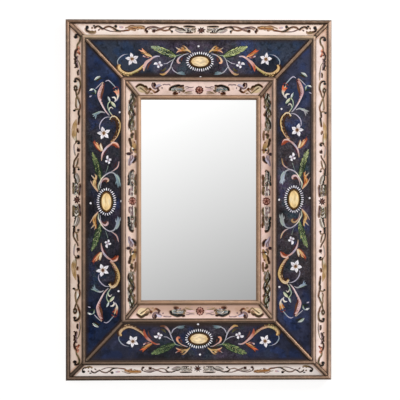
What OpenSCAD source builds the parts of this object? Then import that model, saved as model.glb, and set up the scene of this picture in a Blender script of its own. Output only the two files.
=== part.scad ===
// Wall mirror in a wide wooden frame set with strips of painted glass.
// The frame is drawn lying on its back, face up: x to the right, y towards the top
// and z from the back of the rails to the face. It is stood up against the wall last.
// The wall is the plane y = 0, and the origin lies midway between the two wall hooks.

/* [Overall size] */
// Width of the frame over its edges
frame_w = 590; // [540:1:680]
// Height of the frame over its edges
frame_h = 800; // [720:1:960]
// Room between the back of the rails and the wall
wall_gap = 5; // [4.5:0.5:8]

/* [Bands across the rails] */
// Width of each half-round bead at its foot
bead_w = 10; // [9:0.5:12]
// Width of the pale outer strips that shows between the beads
outer_strip = 25; // [18:0.5:32]
// Width of the blue frieze that shows on the side rails
frieze_side = 78.5; // [70:0.5:95]
// Width of the blue frieze that shows on the top and bottom rails
frieze_end = 82.7; // [70:0.1:95]
// Width of the inner strips that shows on the side rails
inner_side = 23.5; // [18:0.5:32]
// Width of the inner strips that shows on the top and bottom rails
inner_end = 29.3; // [18:0.1:36]

/* [Height of the face above the back of the rails] */
// Seat of the edge beads
edge_seat = 17; // [15:0.5:22]
// Seat of the crest beads, the highest line of the frame
crest_seat = 28; // [25:0.5:34]
// Seat of the beads inside the frieze
frieze_seat = 22.5; // [19:0.5:28]
// Seat of the beads round the mirror
sight_seat = 13.5; // [13:0.5:16]

/* [Beads] */
// Height of the half-round beads above their seats
bead_h = 5; // [4.5:0.1:6]
// Radius of the half-round beads
bead_r = 4.2; // [3.4:0.1:4.4]
// Radius of the beads along the mitres
mitre_bead_r = 4.5; // [3.5:0.1:5.5]

/* [Painted glass] */
// Thickness of the painted panes
pane_t = 2; // [1.5:0.1:3]
// Width of a pane's edge under the beads
pane_tuck = 2; // [1:0.1:3]
// Room between a pane's edge and the side of its recess
pane_room = 0.5; // [0.2:0.1:1]
// Room between two panes, measured along the rail from the mitre
mitre_room = 0.6; // [0.2:0.1:1.5]

/* [Mirror and backing] */
// Height of the mirror's face above the back of the rails
mirror_seat = 8; // [7.5:0.1:8.5]
// Width of the lip that holds the mirror's edge
sight_lip = 8; // [6:0.5:9]
// Thickness of the mirror glass
mirror_t = 3; // [2:0.5:3]
// Thickness of the backing board
board_t = 3; // [2:0.5:3]
// Room between the mirror's edge and the rebate
mirror_room = 1; // [0.5:0.1:2]
// Radius of the sprigs, the headless nails that hold the board
sprig_r = 0.7; // [0.5:0.05:0.75]
// Length of a sprig, half of it driven into the rail
sprig_l = 18; // [12:1:24]
// Distance between the sprigs down each side of the board
sprig_pitch = 150; // [100:5:180]
// Distance between the two sprigs across each end of the board
sprig_end_pitch = 120; // [80:5:180]

/* [Mitre splines] */
// Length of a spline across its mitre
spline_l = 50; // [36:1:60]
// Width of a spline along its mitre
spline_w = 70; // [40:1:80]
// Thickness of a spline
spline_t = 4; // [3:0.5:6]
// Height of a spline's underside above the back of the rails
spline_seat = 6; // [5:0.5:8]
// Distance from the frame's side edge to the middle of a spline
spline_in = 60; // [56:1:70]

/* [Hangers] */
// Distance from the top of the frame down to the wall hooks
hook_drop = 150; // [100:5:220]
// Distance from the frame's side edge to the middle of a hanger
hanger_in = 60; // [40:1:90]
// Width of a hanger strap
strap_w = 12; // [10:0.5:14]
// Thickness of the strap's steel, which lies doubled
strap_t = 0.8; // [0.6:0.1:0.9]
// Length of a strap below its ring's bar
strap_l = 46; // [44:1:60]
// Radius of the ring's wire
wire_r = 1.25; // [1:0.05:1.3]
// Width inside a ring
ring_in = 17; // [16:0.5:22]
// Reach of a ring, from its bar's middle to the middle of the wire at its far end
ring_reach = 16; // [14:0.5:18]
// Bend radius of the ring's two corners, to the middle of the wire
ring_bend = 2.5; // [2:0.1:3]
// Room round the ring's bar in the strap's fold
bar_room = 0.1; // [0.08:0.01:0.15]
// Room between a ring that hangs down and its strap
ring_room = 0.3; // [0.2:0.05:0.4]
// Radius of a hanger screw's shank
screw_r = 1.65; // [1.3:0.05:1.8]
// Length of a hanger screw under its head
screw_l = 12; // [10:1:14]
// Radius of a hanger screw's head
screw_head_r = 3.4; // [3:0.1:3.6]
// Height of a hanger screw's head
screw_head_h = 2; // [1.6:0.1:2.2]
// Distance from the ring's bar to the first screw
screw_first = 24; // [22:0.5:26]
// Distance between the two screws
screw_pitch = 14; // [10:0.5:14]

/* [Bumpers] */
// Radius of a bumper at its foot
bumper_r = 6; // [5:0.5:8]
// Radius of a bumper's flat face on the wall
bumper_face_r = 5; // [4:0.5:5]
// Distance of a bumper's middle from the frame's side and bottom edges
bumper_in = 22; // [16:1:30]

/* [Hidden] */
$fn = 64;
// Side 0 is the bottom rail, 1 the right, 2 the top and 3 the left.
SIDES = [0, 1, 2, 3];
nail_room = 0.05;    // round a sprig or a screw in its hole
spline_room = 0.1;   // round a spline in its slot
strap_hole_room = 0.35; // round a screw in the strap
over = 1;            // how far a cutting shape runs past what it cuts
seats = [edge_seat, crest_seat, frieze_seat, sight_seat];
board_back = mirror_seat - mirror_t - board_t;
sprig_z = board_back - sprig_r - nail_room;

// Distances in from the frame's edge at which the beads and the bands between them begin and end:
// edge bead, outer strip, crest bead, frieze, frieze bead, inner strip, sight bead.
function marks(frieze, inner) =
    let (strip_0 = bead_w, crest_0 = strip_0 + outer_strip, frieze_0 = crest_0 + bead_w)
    let (bead_0 = frieze_0 + frieze, inner_0 = bead_0 + bead_w, sight_0 = inner_0 + inner)
    [0, strip_0, crest_0, frieze_0, bead_0, inner_0, sight_0, sight_0 + bead_w];
side_marks = marks(frieze_side, inner_side);
end_marks = marks(frieze_end, inner_end);

// The frieze and the inner strip are wider on the top and bottom than on the sides,
// so a mitre is a line of several straight runs: square through every bead, slanted between them.
function is_end(k) = k % 2 == 0;
function own(k) = is_end(k) ? end_marks : side_marks;
function next_to(k) = is_end(k) ? side_marks : end_marks;
function rail_length(k) = is_end(k) ? frame_w : frame_h;
function rail_span(k) = is_end(k) ? frame_h : frame_w;

// Band 0 is the outer strip, 1 the frieze and 2 the inner strip. A pane's face rises
// from the foot of the lower bead to its tucked edge under the higher one.
function band_in(k, b) = own(k)[2 * b + 1];
function band_out(k, b) = own(k)[2 * b + 2];
function slope(k, b) = (seats[b + 1] - seats[b]) / (band_out(k, b) - band_in(k, b) + pane_tuck);
function face_at(k, b, u) =
    seats[b + 1] > seats[b]
        ? seats[b] + slope(k, b) * (u - band_in(k, b))
        : seats[b + 1] + slope(k, b) * (u - band_out(k, b));
function pane_drop(k, b) = pane_t / cos(atan(slope(k, b)));
function floor_at(k, b, u) = face_at(k, b, u) - pane_drop(k, b);

// Puts what is drawn for side k, with its edge along x and inwards along y, in its place.
module side(k) {
    rotate([0, 0, 90 * k]) translate([0, -rail_span(k) / 2, 0]) children();
}

// Plan of side k between its two mitres, drawn back from them by a room at each end.
module side_plan(k, room) {
    a = own(k);
    b = next_to(k);
    half = rail_length(k) / 2 - room;
    right = concat([[half + over, -over]],
        [for (i = [1:6]) [half - b[i], a[i]]],
        [[half - b[7] - over, a[7] + over]]);
    left = [for (i = [7:-1:0]) [-right[i][0], right[i][1]]];
    polygon(concat(right, left));
}

// Runs a section, drawn as distance from the edge and height, along side k from mitre to mitre.
module run_along(k, room = 0) {
    side(k) intersection() {
        rotate([90, 0, 90])
            linear_extrude(height = rail_length(k) + 2 * over, center = true) children();
        translate([0, 0, -over])
            linear_extrude(height = crest_seat + bead_h + 3 * over) side_plan(k, room);
    }
}

// Section of a rail: its seats for the beads, its recesses for the panes and the mirror's rebate.
module rail_section(k) {
    edge = pane_tuck + pane_room;
    recesses = [for (b = [0:2]) each
        let (u_0 = band_in(k, b) - edge, u_1 = band_out(k, b) + edge)
        [[u_0, seats[b]], [u_0, floor_at(k, b, u_0)], [u_1, floor_at(k, b, u_1)], [u_1, seats[b + 1]]]];
    sight = own(k)[7];
    polygon(concat([[0, 0], [0, edge_seat]], recesses,
        [[sight, sight_seat], [sight, mirror_seat],
         [sight - sight_lip, mirror_seat], [sight - sight_lip, 0]]));
}

// One tapered rail with its mitred ends, the slots for the splines and the nail holes.
module rail(k) {
    color("saddlebrown") difference() {
        run_along(k) rail_section(k);
        splines(spline_room);
        sprigs(nail_room, over);
        if (!is_end(k)) at_hanger(2 - k) screw_holes();
    }
}

// Loose tongues glued into slots across the four mitres.
module splines(room) {
    run = atan2(frieze_end, frieze_side);
    in_end = end_marks[3] + (spline_in - side_marks[3]) * frieze_end / frieze_side;
    for (a = [0, 1], b = [0, 1])
        mirror([a, 0, 0]) mirror([0, b, 0])
            translate([frame_w / 2 - spline_in, frame_h / 2 - in_end, spline_seat + spline_t / 2])
                rotate([0, 0, run])
                    cube([spline_w, spline_l, spline_t] + 2 * [room, room, room], center = true);
}

module mitre_splines() {
    color("burlywood") splines(0);
}

// One strip of glass painted on its back, flush with the faces beside it.
module pane(k, b, colour) {
    u_0 = band_in(k, b) - pane_tuck;
    u_1 = band_out(k, b) + pane_tuck;
    color(colour) run_along(k, mitre_room)
        polygon([[u_0, floor_at(k, b, u_0)], [u_1, floor_at(k, b, u_1)],
            [u_1, face_at(k, b, u_1)], [u_0, face_at(k, b, u_0)]]);
}

// Section of a bead: a half round on a low fillet that stands out at both sides.
module bead_section() {
    foot = bead_h - bead_r;
    intersection() {
        union() {
            translate([0, foot]) circle(r = bead_r);
            translate([-bead_w / 2, 0]) square([bead_w, foot]);
        }
        translate([-bead_w / 2, 0]) square([bead_w, bead_h + over]);
    }
}

// One mitred length of bead on seat j: 0 edge, 1 crest, 2 frieze, 3 sight.
module bead(k, j) {
    color("peru") run_along(k)
        translate([own(k)[2 * j] + bead_w / 2, seats[j]]) bead_section();
}

// Everything below the face of pane b on side k, also a little past its two beads.
module below_face(k, b) {
    u_0 = band_in(k, b) - mitre_bead_r;
    u_1 = band_out(k, b) + mitre_bead_r;
    run_along(k)
        polygon([[u_0, 0], [u_1, 0], [u_1, face_at(k, b, u_1)], [u_0, face_at(k, b, u_0)]]);
}

// Bead over the joint of two panes, at the right end of side k. It is a round rod along the mitre,
// hollowed underneath to both panes and cut to fit the corners of the beads that it runs between.
module mitre_bead(k, b) {
    half = rail_length(k) / 2;
    x_0 = half - next_to(k)[2 * b + 1];
    x_1 = half - next_to(k)[2 * b + 2];
    u_0 = band_in(k, b);
    u_1 = band_out(k, b);
    start = [x_0, u_0, face_at(k, b, u_0)];
    end = [x_1, u_1, face_at(k, b, u_1)];
    run = end - start;
    reach = 3 * mitre_bead_r;
    next = (k + 1) % 4;
    color("peru") difference() {
        side(k) intersection() {
            translate(start)
                rotate([0, acos(run[2] / norm(run)), atan2(run[1], run[0])])
                    translate([0, 0, -reach]) cylinder(r = mitre_bead_r, h = norm(run) + 2 * reach);
            linear_extrude(height = crest_seat + 4 * mitre_bead_r) difference() {
                translate([x_1 - reach, u_0]) square([x_0 - x_1 + reach, u_1 - u_0 + reach]);
                translate([x_1 - 2 * reach, u_1]) square([2 * reach, 2 * reach]);
            }
        }
        below_face(k, b);
        below_face(next, b);
    }
}

// Half the width and half the height inside the mirror's rebate.
rebate_x = frame_w / 2 - side_marks[7] + sight_lip;
rebate_y = frame_h / 2 - end_marks[7] + sight_lip;

// A sheet that fills the rebate, apart from the room round it.
module rebate_sheet(top, thickness) {
    sheet = 2 * [rebate_x - mirror_room, rebate_y - mirror_room, 0] + [0, 0, thickness];
    translate([-sheet[0] / 2, -sheet[1] / 2, top - thickness]) cube(sheet);
}

module mirror_glass() {
    color("silver") rebate_sheet(mirror_seat, mirror_t);
}

module backing_board() {
    color("sienna") rebate_sheet(mirror_seat - mirror_t, board_t);
}

// Headless nails driven sideways into the rails, close over the back of the board.
module sprigs(room, longer) {
    for (s = [-1, 1]) {
        for (i = [-1:1])
            translate([s * (rebate_x + longer / 2), i * sprig_pitch, sprig_z])
                rotate([0, 90, 0]) cylinder(r = sprig_r + room, h = sprig_l + longer, center = true);
        for (i = [-0.5, 0.5])
            translate([i * sprig_end_pitch, s * (rebate_y + longer / 2), sprig_z])
                rotate([90, 0, 0]) cylinder(r = sprig_r + room, h = sprig_l + longer, center = true);
    }
}

module backing_sprigs() {
    color("gray") sprigs(0, 0);
}

// Hangers. A ring's bar turns in the fold of a strap that two screws hold to the rail.
// They are drawn at the bar: y along the rail and z from the back of the rail to the wall.
bar_z = wire_r + bar_room + strap_t;
bar_drop = hook_drop + ring_reach - wire_r;
ring_tilt = asin((2 * strap_t + ring_room + wire_r - bar_z) / ring_reach);
screw_places = [screw_first, screw_first + screw_pitch];

// Turns to the back of the rails, at the bar of the hanger on the left (s = -1) or right (s = 1).
module at_hanger(s) {
    translate([s * (frame_w / 2 - hanger_in), frame_h / 2 - bar_drop, 0])
        rotate([0, 180, 0]) children();
}

module screw_holes() {
    for (y = screw_places)
        translate([0, -y, 2 * strap_t - screw_l - over])
            cylinder(r = screw_r + nail_room, h = screw_l + over);
}

// Steel strap folded round the ring's bar, with a round lower end and two screw holes.
module hanger_strap(s) {
    color("silver") at_hanger(s) difference() {
        intersection() {
            rotate([90, 0, 90]) linear_extrude(height = strap_w, center = true) union() {
                translate([-strap_l, 0]) square([strap_l, 2 * strap_t]);
                translate([0, bar_z]) circle(r = bar_z);
            }
            linear_extrude(height = 3 * bar_z) union() {
                translate([-strap_w, strap_w / 2 - strap_l]) square([2 * strap_w, strap_l + strap_w]);
                translate([0, strap_w / 2 - strap_l]) circle(d = strap_w);
            }
        }
        translate([0, 0, bar_z]) rotate([0, 90, 0])
            cylinder(r = wire_r + bar_room, h = strap_w + 2 * over, center = true);
        for (y = screw_places)
            translate([0, -y, -over]) cylinder(r = screw_r + strap_hole_room, h = 2 * strap_t + 2 * over);
    }
}

// Ring of round wire in the shape of a D, hanging down over its strap.
module hanger_ring(s) {
    half = ring_in / 2 + wire_r;
    arm = ring_reach - half - ring_bend;
    color("goldenrod") at_hanger(s) translate([0, 0, bar_z]) rotate([-ring_tilt, 0, 0]) {
        rotate([0, 90, 0]) cylinder(r = wire_r, h = 2 * (half - ring_bend), center = true);
        for (m = [0, 1]) mirror([m, 0, 0]) {
            translate([half - ring_bend, -ring_bend, 0])
                rotate_extrude(angle = 90) translate([ring_bend, 0]) circle(r = wire_r);
            translate([half, -ring_bend, 0]) rotate([90, 0, 0]) cylinder(r = wire_r, h = arm);
        }
        translate([0, half - ring_reach, 0]) rotate([0, 0, 180])
            rotate_extrude(angle = 180) translate([half, 0]) circle(r = wire_r);
    }
}

// Slotted round-head screws, two to a strap.
module hanger_screws() {
    bevel = screw_head_h / 2;
    slot = [2 * screw_head_r + 2 * over, 0.8, bevel];
    color("khaki") for (s = [-1, 1]) at_hanger(s) for (y = screw_places)
        translate([0, -y, 2 * strap_t]) difference() {
            union() {
                rotate_extrude() polygon([[0, 0], [screw_head_r, 0], [screw_head_r, bevel],
                    [screw_head_r - bevel, screw_head_h], [0, screw_head_h]]);
                translate([0, 0, -screw_l]) cylinder(r = screw_r, h = screw_l);
            }
            translate([-slot[0] / 2, -slot[1] / 2, screw_head_h - slot[2]]) cube(slot + [0, 0, over]);
        }
}

// Rubber feet at the two lower corners that keep the frame upright off the wall.
module wall_bumpers() {
    side_h = wall_gap * 0.6;
    color("dimgray") for (s = [-1, 1])
        translate([s * (frame_w / 2 - bumper_in), bumper_in - frame_h / 2, 0]) rotate([0, 180, 0])
            rotate_extrude() polygon([[0, 0], [bumper_r, 0], [bumper_r, side_h],
                [bumper_face_r, wall_gap], [0, wall_gap]]);
}

// Stands the frame up, with its back to the wall and the hooks at the origin.
module hung() {
    translate([0, -wall_gap, hook_drop - frame_h / 2]) rotate([90, 0, 0]) children();
}

cream = "antiquewhite";
navy = "midnightblue";
blush = "rosybrown";

hung() rail(0);  // rail_bottom
hung() rail(1);  // rail_right
hung() rail(2);  // rail_top
hung() rail(3);  // rail_left
hung() mitre_splines();
hung() pane(0, 0, cream);  // outer_glass_bottom
hung() pane(1, 0, cream);  // outer_glass_right
hung() pane(2, 0, cream);  // outer_glass_top
hung() pane(3, 0, cream);  // outer_glass_left
hung() pane(0, 1, navy);  // frieze_glass_bottom
hung() pane(1, 1, navy);  // frieze_glass_right
hung() pane(2, 1, navy);  // frieze_glass_top
hung() pane(3, 1, navy);  // frieze_glass_left
hung() pane(0, 2, blush);  // inner_glass_bottom
hung() pane(1, 2, blush);  // inner_glass_right
hung() pane(2, 2, blush);  // inner_glass_top
hung() pane(3, 2, blush);  // inner_glass_left
hung() bead(0, 0);  // edge_bead_bottom
hung() bead(1, 0);  // edge_bead_right
hung() bead(2, 0);  // edge_bead_top
hung() bead(3, 0);  // edge_bead_left
hung() bead(0, 1);  // crest_bead_bottom
hung() bead(1, 1);  // crest_bead_right
hung() bead(2, 1);  // crest_bead_top
hung() bead(3, 1);  // crest_bead_left
hung() bead(0, 2);  // frieze_bead_bottom
hung() bead(1, 2);  // frieze_bead_right
hung() bead(2, 2);  // frieze_bead_top
hung() bead(3, 2);  // frieze_bead_left
hung() bead(0, 3);  // sight_bead_bottom
hung() bead(1, 3);  // sight_bead_right
hung() bead(2, 3);  // sight_bead_top
hung() bead(3, 3);  // sight_bead_left
hung() mitre_bead(0, 0);  // outer_mitre_bead_br
hung() mitre_bead(1, 0);  // outer_mitre_bead_tr
hung() mitre_bead(2, 0);  // outer_mitre_bead_tl
hung() mitre_bead(3, 0);  // outer_mitre_bead_bl
hung() mitre_bead(0, 1);  // frieze_mitre_bead_br
hung() mitre_bead(1, 1);  // frieze_mitre_bead_tr
hung() mitre_bead(2, 1);  // frieze_mitre_bead_tl
hung() mitre_bead(3, 1);  // frieze_mitre_bead_bl
hung() mitre_bead(0, 2);  // inner_mitre_bead_br
hung() mitre_bead(1, 2);  // inner_mitre_bead_tr
hung() mitre_bead(2, 2);  // inner_mitre_bead_tl
hung() mitre_bead(3, 2);  // inner_mitre_bead_bl
hung() mirror_glass();
hung() backing_board();
hung() backing_sprigs();
hung() hanger_strap(-1);  // hanger_strap_left
hung() hanger_strap(1);  // hanger_strap_right
hung() hanger_ring(-1);  // hanger_ring_left
hung() hanger_ring(1);  // hanger_ring_right
hung() hanger_screws();
hung() wall_bumpers();
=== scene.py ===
import math
import random

import bpy
from mathutils import Matrix, Vector


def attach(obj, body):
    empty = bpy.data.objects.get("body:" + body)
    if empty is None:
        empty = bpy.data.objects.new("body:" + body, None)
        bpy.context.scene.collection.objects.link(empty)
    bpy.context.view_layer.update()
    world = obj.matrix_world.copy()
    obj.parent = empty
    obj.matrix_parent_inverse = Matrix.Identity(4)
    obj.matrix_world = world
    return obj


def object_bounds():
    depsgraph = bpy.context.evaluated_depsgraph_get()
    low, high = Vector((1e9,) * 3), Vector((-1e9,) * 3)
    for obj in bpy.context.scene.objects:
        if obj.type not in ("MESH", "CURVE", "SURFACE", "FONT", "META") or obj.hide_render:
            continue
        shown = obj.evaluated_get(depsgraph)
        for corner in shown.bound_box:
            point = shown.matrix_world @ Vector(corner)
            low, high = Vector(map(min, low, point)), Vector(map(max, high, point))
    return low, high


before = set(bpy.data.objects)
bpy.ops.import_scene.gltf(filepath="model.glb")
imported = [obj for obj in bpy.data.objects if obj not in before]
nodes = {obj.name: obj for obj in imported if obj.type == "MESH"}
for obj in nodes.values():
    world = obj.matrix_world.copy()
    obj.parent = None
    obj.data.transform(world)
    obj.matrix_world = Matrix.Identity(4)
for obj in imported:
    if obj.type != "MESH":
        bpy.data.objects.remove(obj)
cad_low, cad_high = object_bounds()

# --- Rails -------------------------------------------------------------------
# Four mitred rails of pale tropical cedar, splined and glued at the mitres and left bare
# at the back. Their outer edges and fronts are brushed with the same bronze as the beads.
SIDES = ("bottom", "right", "top", "left")
middle = (cad_low + cad_high) / 2
half_w = (cad_high.x - cad_low.x) / 2
half_h = (cad_high.z - cad_low.z) / 2
cedar_light = (0.36, 0.20, 0.105, 1)
cedar_dark = (0.17, 0.080, 0.040, 1)
bronze_warm = (0.215, 0.118, 0.072, 1)
bronze_olive = (0.130, 0.084, 0.055, 1)
bronze_rubbed = (0.45, 0.30, 0.215, 1)
bronze_ridge_highlight = (0.43, 0.285, 0.20, 1)
bronze_foot_shade = (0.036, 0.016, 0.009, 1)
edge_skin = 0.0006  # how deep the outer edge's bronze reaches into the rail
facing_front = -0.3  # a normal's y below this is on the rail's front


def give(tree, socket, value):
    """Links an input socket to an output, or sets its value."""
    if isinstance(value, bpy.types.NodeSocket):
        tree.links.new(value, socket)
    else:
        socket.default_value = value


def put(tree, kind, sockets=None, **settings):
    """One shader or geometry node: its settings, and what each input is given or linked to."""
    made = tree.nodes.new(kind)
    for name, value in settings.items():
        setattr(made, name, value)
    for key, value in (sockets or {}).items():
        give(tree, made.inputs[key], value)
    return made


def start_group(name, kind, inputs, outputs):
    """A node group with named sockets; it gives back the group, its input node and its output node."""
    group = bpy.data.node_groups.new(name, kind)
    for sockets, way in ((inputs, "INPUT"), (outputs, "OUTPUT")):
        for label, socket_type, value in sockets:
            socket = group.interface.new_socket(label, in_out=way, socket_type="NodeSocket" + socket_type)
            if value is not None:
                socket.default_value = value
    return group, group.nodes.new("NodeGroupInput"), group.nodes.new("NodeGroupOutput")


def start_material(name):
    """An empty material; it gives back the material and its node tree."""
    made = bpy.data.materials.new(name)
    made.use_nodes = True
    made.node_tree.nodes.clear()
    return made, made.node_tree


def end_material(tree, sockets):
    """Puts a Principled surface on a material, with these inputs."""
    surface = put(tree, "ShaderNodeBsdfPrincipled", sockets)
    put(tree, "ShaderNodeOutputMaterial", {"Surface": surface.outputs[0]})


def blend(tree, mask, low, high, way="MIX"):
    """A colour between low and high."""
    made = put(tree, "ShaderNodeMix", data_type="RGBA", blend_type=way)
    for key, value in (("Factor_Float", mask), ("A_Color", low), ("B_Color", high)):
        give(tree, next(s for s in made.inputs if s.identifier == key), value)
    return next(s for s in made.outputs if s.identifier == "Result_Color")


def ramp(tree, value, low, high, to_low=0.0, to_high=1.0, way="SMOOTHSTEP"):
    """A value brought from one range to another, and held at its ends."""
    return put(tree, "ShaderNodeMapRange", {0: value, 1: low, 2: high, 3: to_low, 4: to_high},
               interpolation_type=way).outputs[0]


def sums(tree, way, *values):
    """One sum of values."""
    return put(tree, "ShaderNodeMath", dict(enumerate(values)), operation=way).outputs[0]


def spot_of(tree, way="Object"):
    """Where a point of the surface lies in the frame, or with Normal, which way it faces."""
    return put(tree, "ShaderNodeTexCoord").outputs[way]


def parts(tree, vector):
    """The x, y and z of a vector."""
    return put(tree, "ShaderNodeSeparateXYZ", {0: vector}).outputs


def noise(tree, where, scale, detail, rough=0.5, warp=0.0):
    """Cloudy noise between 0 and 1."""
    return put(tree, "ShaderNodeTexNoise", {"Vector": where, "Scale": scale, "Detail": detail,
                                            "Roughness": rough, "Distortion": warp}).outputs[0]


def plain_tone(tree, value):
    """A grey of this value."""
    return put(tree, "ShaderNodeCombineColor", {0: value, 1: value, 2: value}).outputs[0]


def bumps(tree, strength, depth, height):
    """A normal tilted by small relief."""
    return put(tree, "ShaderNodeBump", {"Strength": strength, "Distance": depth, "Height": height}).outputs[0]


def off_middle(tree, along):
    """A height's distance from the frame's middle."""
    return sums(tree, "SUBTRACT", along, middle.z)


def paint(names, material):
    """Gives the material to CAD nodes."""
    for name in names:
        slots = nodes[name].data.materials
        slots.clear()
        slots.append(material)


grain, come, go = start_group(
    "wood_grain", "ShaderNodeTree",
    [("Position", "Vector", None), ("Light", "Color", cedar_light), ("Dark", "Color", cedar_dark)],
    [("Color", "Color", None), ("Pores", "Float", None)])
at = come.outputs["Position"]
wander = noise(grain, at, 6.0, 3.0, 0.55)
streaks = noise(grain, at, 55.0, 5.0, 0.65, 0.4)
pore_mask = ramp(grain, noise(grain, at, 260.0, 2.0), 0.60, 0.72)
tone = sums(grain, "ADD", sums(grain, "MULTIPLY", wander, 0.55), sums(grain, "MULTIPLY", streaks, 0.55))
wood = blend(grain, ramp(grain, tone, 0.38, 0.72), come.outputs["Dark"], come.outputs["Light"])
give(grain, go.inputs["Color"], blend(grain, sums(grain, "MULTIPLY", pore_mask, 0.55), wood, cedar_dark))
give(grain, go.inputs["Pores"], pore_mask)

leaf, come, go = start_group(
    "bronze_leaf", "ShaderNodeTree",
    [("Position", "Vector", None), ("Facing", "Float", 1.0), ("Warm", "Color", bronze_warm),
     ("Olive", "Color", bronze_olive), ("Rubbed", "Float", 0.4)],
    [("Color", "Color", None), ("Roughness", "Float", None), ("Height", "Float", None)])
cloud = noise(leaf, come.outputs["Position"], 14.0, 4.0, 0.6)
brush = noise(leaf, come.outputs["Position"], 120.0, 4.0, 0.7, 0.6)
bronze = blend(leaf, ramp(leaf, cloud, 0.40, 0.62), come.outputs["Olive"], come.outputs["Warm"])
rubbed = sums(leaf, "MULTIPLY", ramp(leaf, brush, 0.47, 0.70), come.outputs["Rubbed"])
bronze = blend(leaf, rubbed, bronze, bronze_rubbed)
# painted highlight: a lighter tone on the crest of each bead, where it faces straight out
ridge_highlight = ramp(leaf, come.outputs["Facing"], 0.88, 0.985, 0.0, 0.42)
bronze = blend(leaf, ridge_highlight, bronze, bronze_ridge_highlight)
# umber along the feet where the bead turns away from the front, deepened as a painted shadow where the bead meets the
# glass
foot_shade = sums(leaf, "ADD", come.outputs["Facing"], sums(leaf, "MULTIPLY_ADD", brush, 0.4, -0.20))
bronze = blend(leaf, ramp(leaf, foot_shade, 0.46, 0.84, 1.0, 0.0), bronze, bronze_foot_shade)
at = parts(leaf, come.outputs["Position"])
# painted shade: every bronze is darker towards the frame's lower left, away from the lamp
corner = sums(leaf, "ADD", sums(leaf, "MULTIPLY", at[0], 1 / half_w),
              sums(leaf, "MULTIPLY", off_middle(leaf, at[2]), 1 / half_h))
lower_left_shade = plain_tone(leaf, ramp(leaf, corner, -2.0, -0.2, 0.50, 1.0))
give(leaf, go.inputs["Color"], blend(leaf, 1.0, bronze, lower_left_shade, "MULTIPLY"))
give(leaf, go.inputs["Roughness"], ramp(leaf, brush, 0.35, 0.7, 0.34, 0.52))
give(leaf, go.inputs["Height"], sums(leaf, "ADD", cloud, brush))

for name, stretch, rails in (("cedar_upright", (1.0, 1.0, 0.07), ["rail_left", "rail_right"]),
                             ("cedar_level", (0.07, 1.0, 1.0), ["rail_top", "rail_bottom", "mitre_splines"])):
    cedar, tree = start_material(name)
    place = spot_of(tree)
    along = put(tree, "ShaderNodeMapping", {"Vector": place, "Scale": stretch}).outputs[0]
    wood = put(tree, "ShaderNodeGroup", {"Position": along}, node_tree=grain).outputs
    coat = put(tree, "ShaderNodeGroup", {"Position": place, "Facing": 1.0}, node_tree=leaf).outputs
    at = parts(tree, place)
    over_x = sums(tree, "SUBTRACT", sums(tree, "ABSOLUTE", at[0]), half_w - edge_skin)
    over_z = sums(tree, "SUBTRACT", sums(tree, "ABSOLUTE", off_middle(tree, at[2])), half_h - edge_skin)
    edge = sums(tree, "GREATER_THAN", sums(tree, "MAXIMUM", over_x, over_z), 0.0)
    front = sums(tree, "LESS_THAN", parts(tree, spot_of(tree, "Normal"))[1], facing_front)
    edge = sums(tree, "MAXIMUM", edge, front)
    end_material(tree, {
        "Base Color": blend(tree, edge, wood["Color"], coat["Color"]),
        "Metallic": sums(tree, "MULTIPLY", edge, 0.4),
        "Roughness": ramp(tree, edge, 0, 1, 0.66, 0.45),
        "Normal": bumps(tree, 0.25, 0.0006, blend(tree, edge, wood["Pores"], coat["Height"]))})
    paint(rails, cedar)

# --- Painted panes -------------------------------------------------------------
# Sheet glass, cut to each band of the frame and painted on its back before it is laid
# in: cream strips outside, a deep blue frieze, and blush strips next to the mirror.
cream = {"left": (0.94, 0.75, 0.63, 1), "right": (0.93, 0.77, 0.72, 1), "top": (0.87, 0.74, 0.67, 1),
         "bottom": (0.99, 0.89, 0.825, 1)}
# the tone of the painted shadow that the beads cast on the cream strips
cream_shadow_tan = (0.52, 0.29, 0.17, 1)
cream_stain = (0.72, 0.51, 0.39, 1)
stained = {"left": 0.45, "right": 0.45, "top": 0.45, "bottom": 0.1}
blush = {"left": (0.84, 0.65, 0.56, 1), "right": (0.97, 0.69, 0.61, 1), "top": (0.92, 0.70, 0.62, 1),
         "bottom": (0.90, 0.67, 0.60, 1)}
# the tones of the painted shadow that the beads cast on the blush strips and on the blue
blush_shadow_tan = (0.36, 0.195, 0.11, 1)
navy_edge_shadow = (0.030, 0.018, 0.014, 1)
# the blue of one rail: its ground, how light its patches are, and its tone at the corners
navy = {"left": ((0.022, 0.020, 0.028, 1), 1.08, (0.014, 0.025, 0.064, 1)),
        "right": ((0.041, 0.030, 0.033, 1), 1.75, (0.030, 0.037, 0.080, 1)),
        "top": ((0.056, 0.046, 0.062, 1), 1.7, (0.026, 0.038, 0.062, 1)),
        "bottom": ((0.033, 0.027, 0.040, 1), 1.3, (0.014, 0.018, 0.041, 1))}
# patches: a tint, the noise's scale, where it starts and is full, and how strong it is
blush_tints = [((0.80, 0.62, 0.54, 1), 24.0, 0.45, 0.62, 0.8), ((0.56, 0.37, 0.26, 1), 38.0, 0.50, 0.70, 0.6)]
navy_tints = [((0.012, 0.028, 0.095, 1), 13.0, 0.50, 0.68, 0.75), ((0.036, 0.022, 0.040, 1), 17.0, 0.48, 0.66, 0.7),
              ((0.012, 0.032, 0.042, 1), 21.0, 0.50, 0.68, 0.7), ((0.052, 0.046, 0.050, 1), 70.0, 0.48, 0.68, 0.45),
              ((0.058, 0.058, 0.074, 1), 260.0, 0.50, 0.68, 0.5),
              ((0.005, 0.006, 0.010, 1), 330.0, 0.48, 0.64, 0.75)]
# lighter and darker blotches of the blue: how much lighter, the noise's scale, start and full
navy_blotches = ((0.42, 16.0, 0.47, 0.66), (1.7, 23.0, 0.53, 0.70), (0.5, 75.0, 0.50, 0.66), (1.6, 280.0, 0.54, 0.70))
# where each band's glass begins and ends, from the frame's outer edge
outer_band, frieze_band, inner_band = (0.010, 0.035), (0.045, 0.125), (0.133, 0.160)
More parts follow.
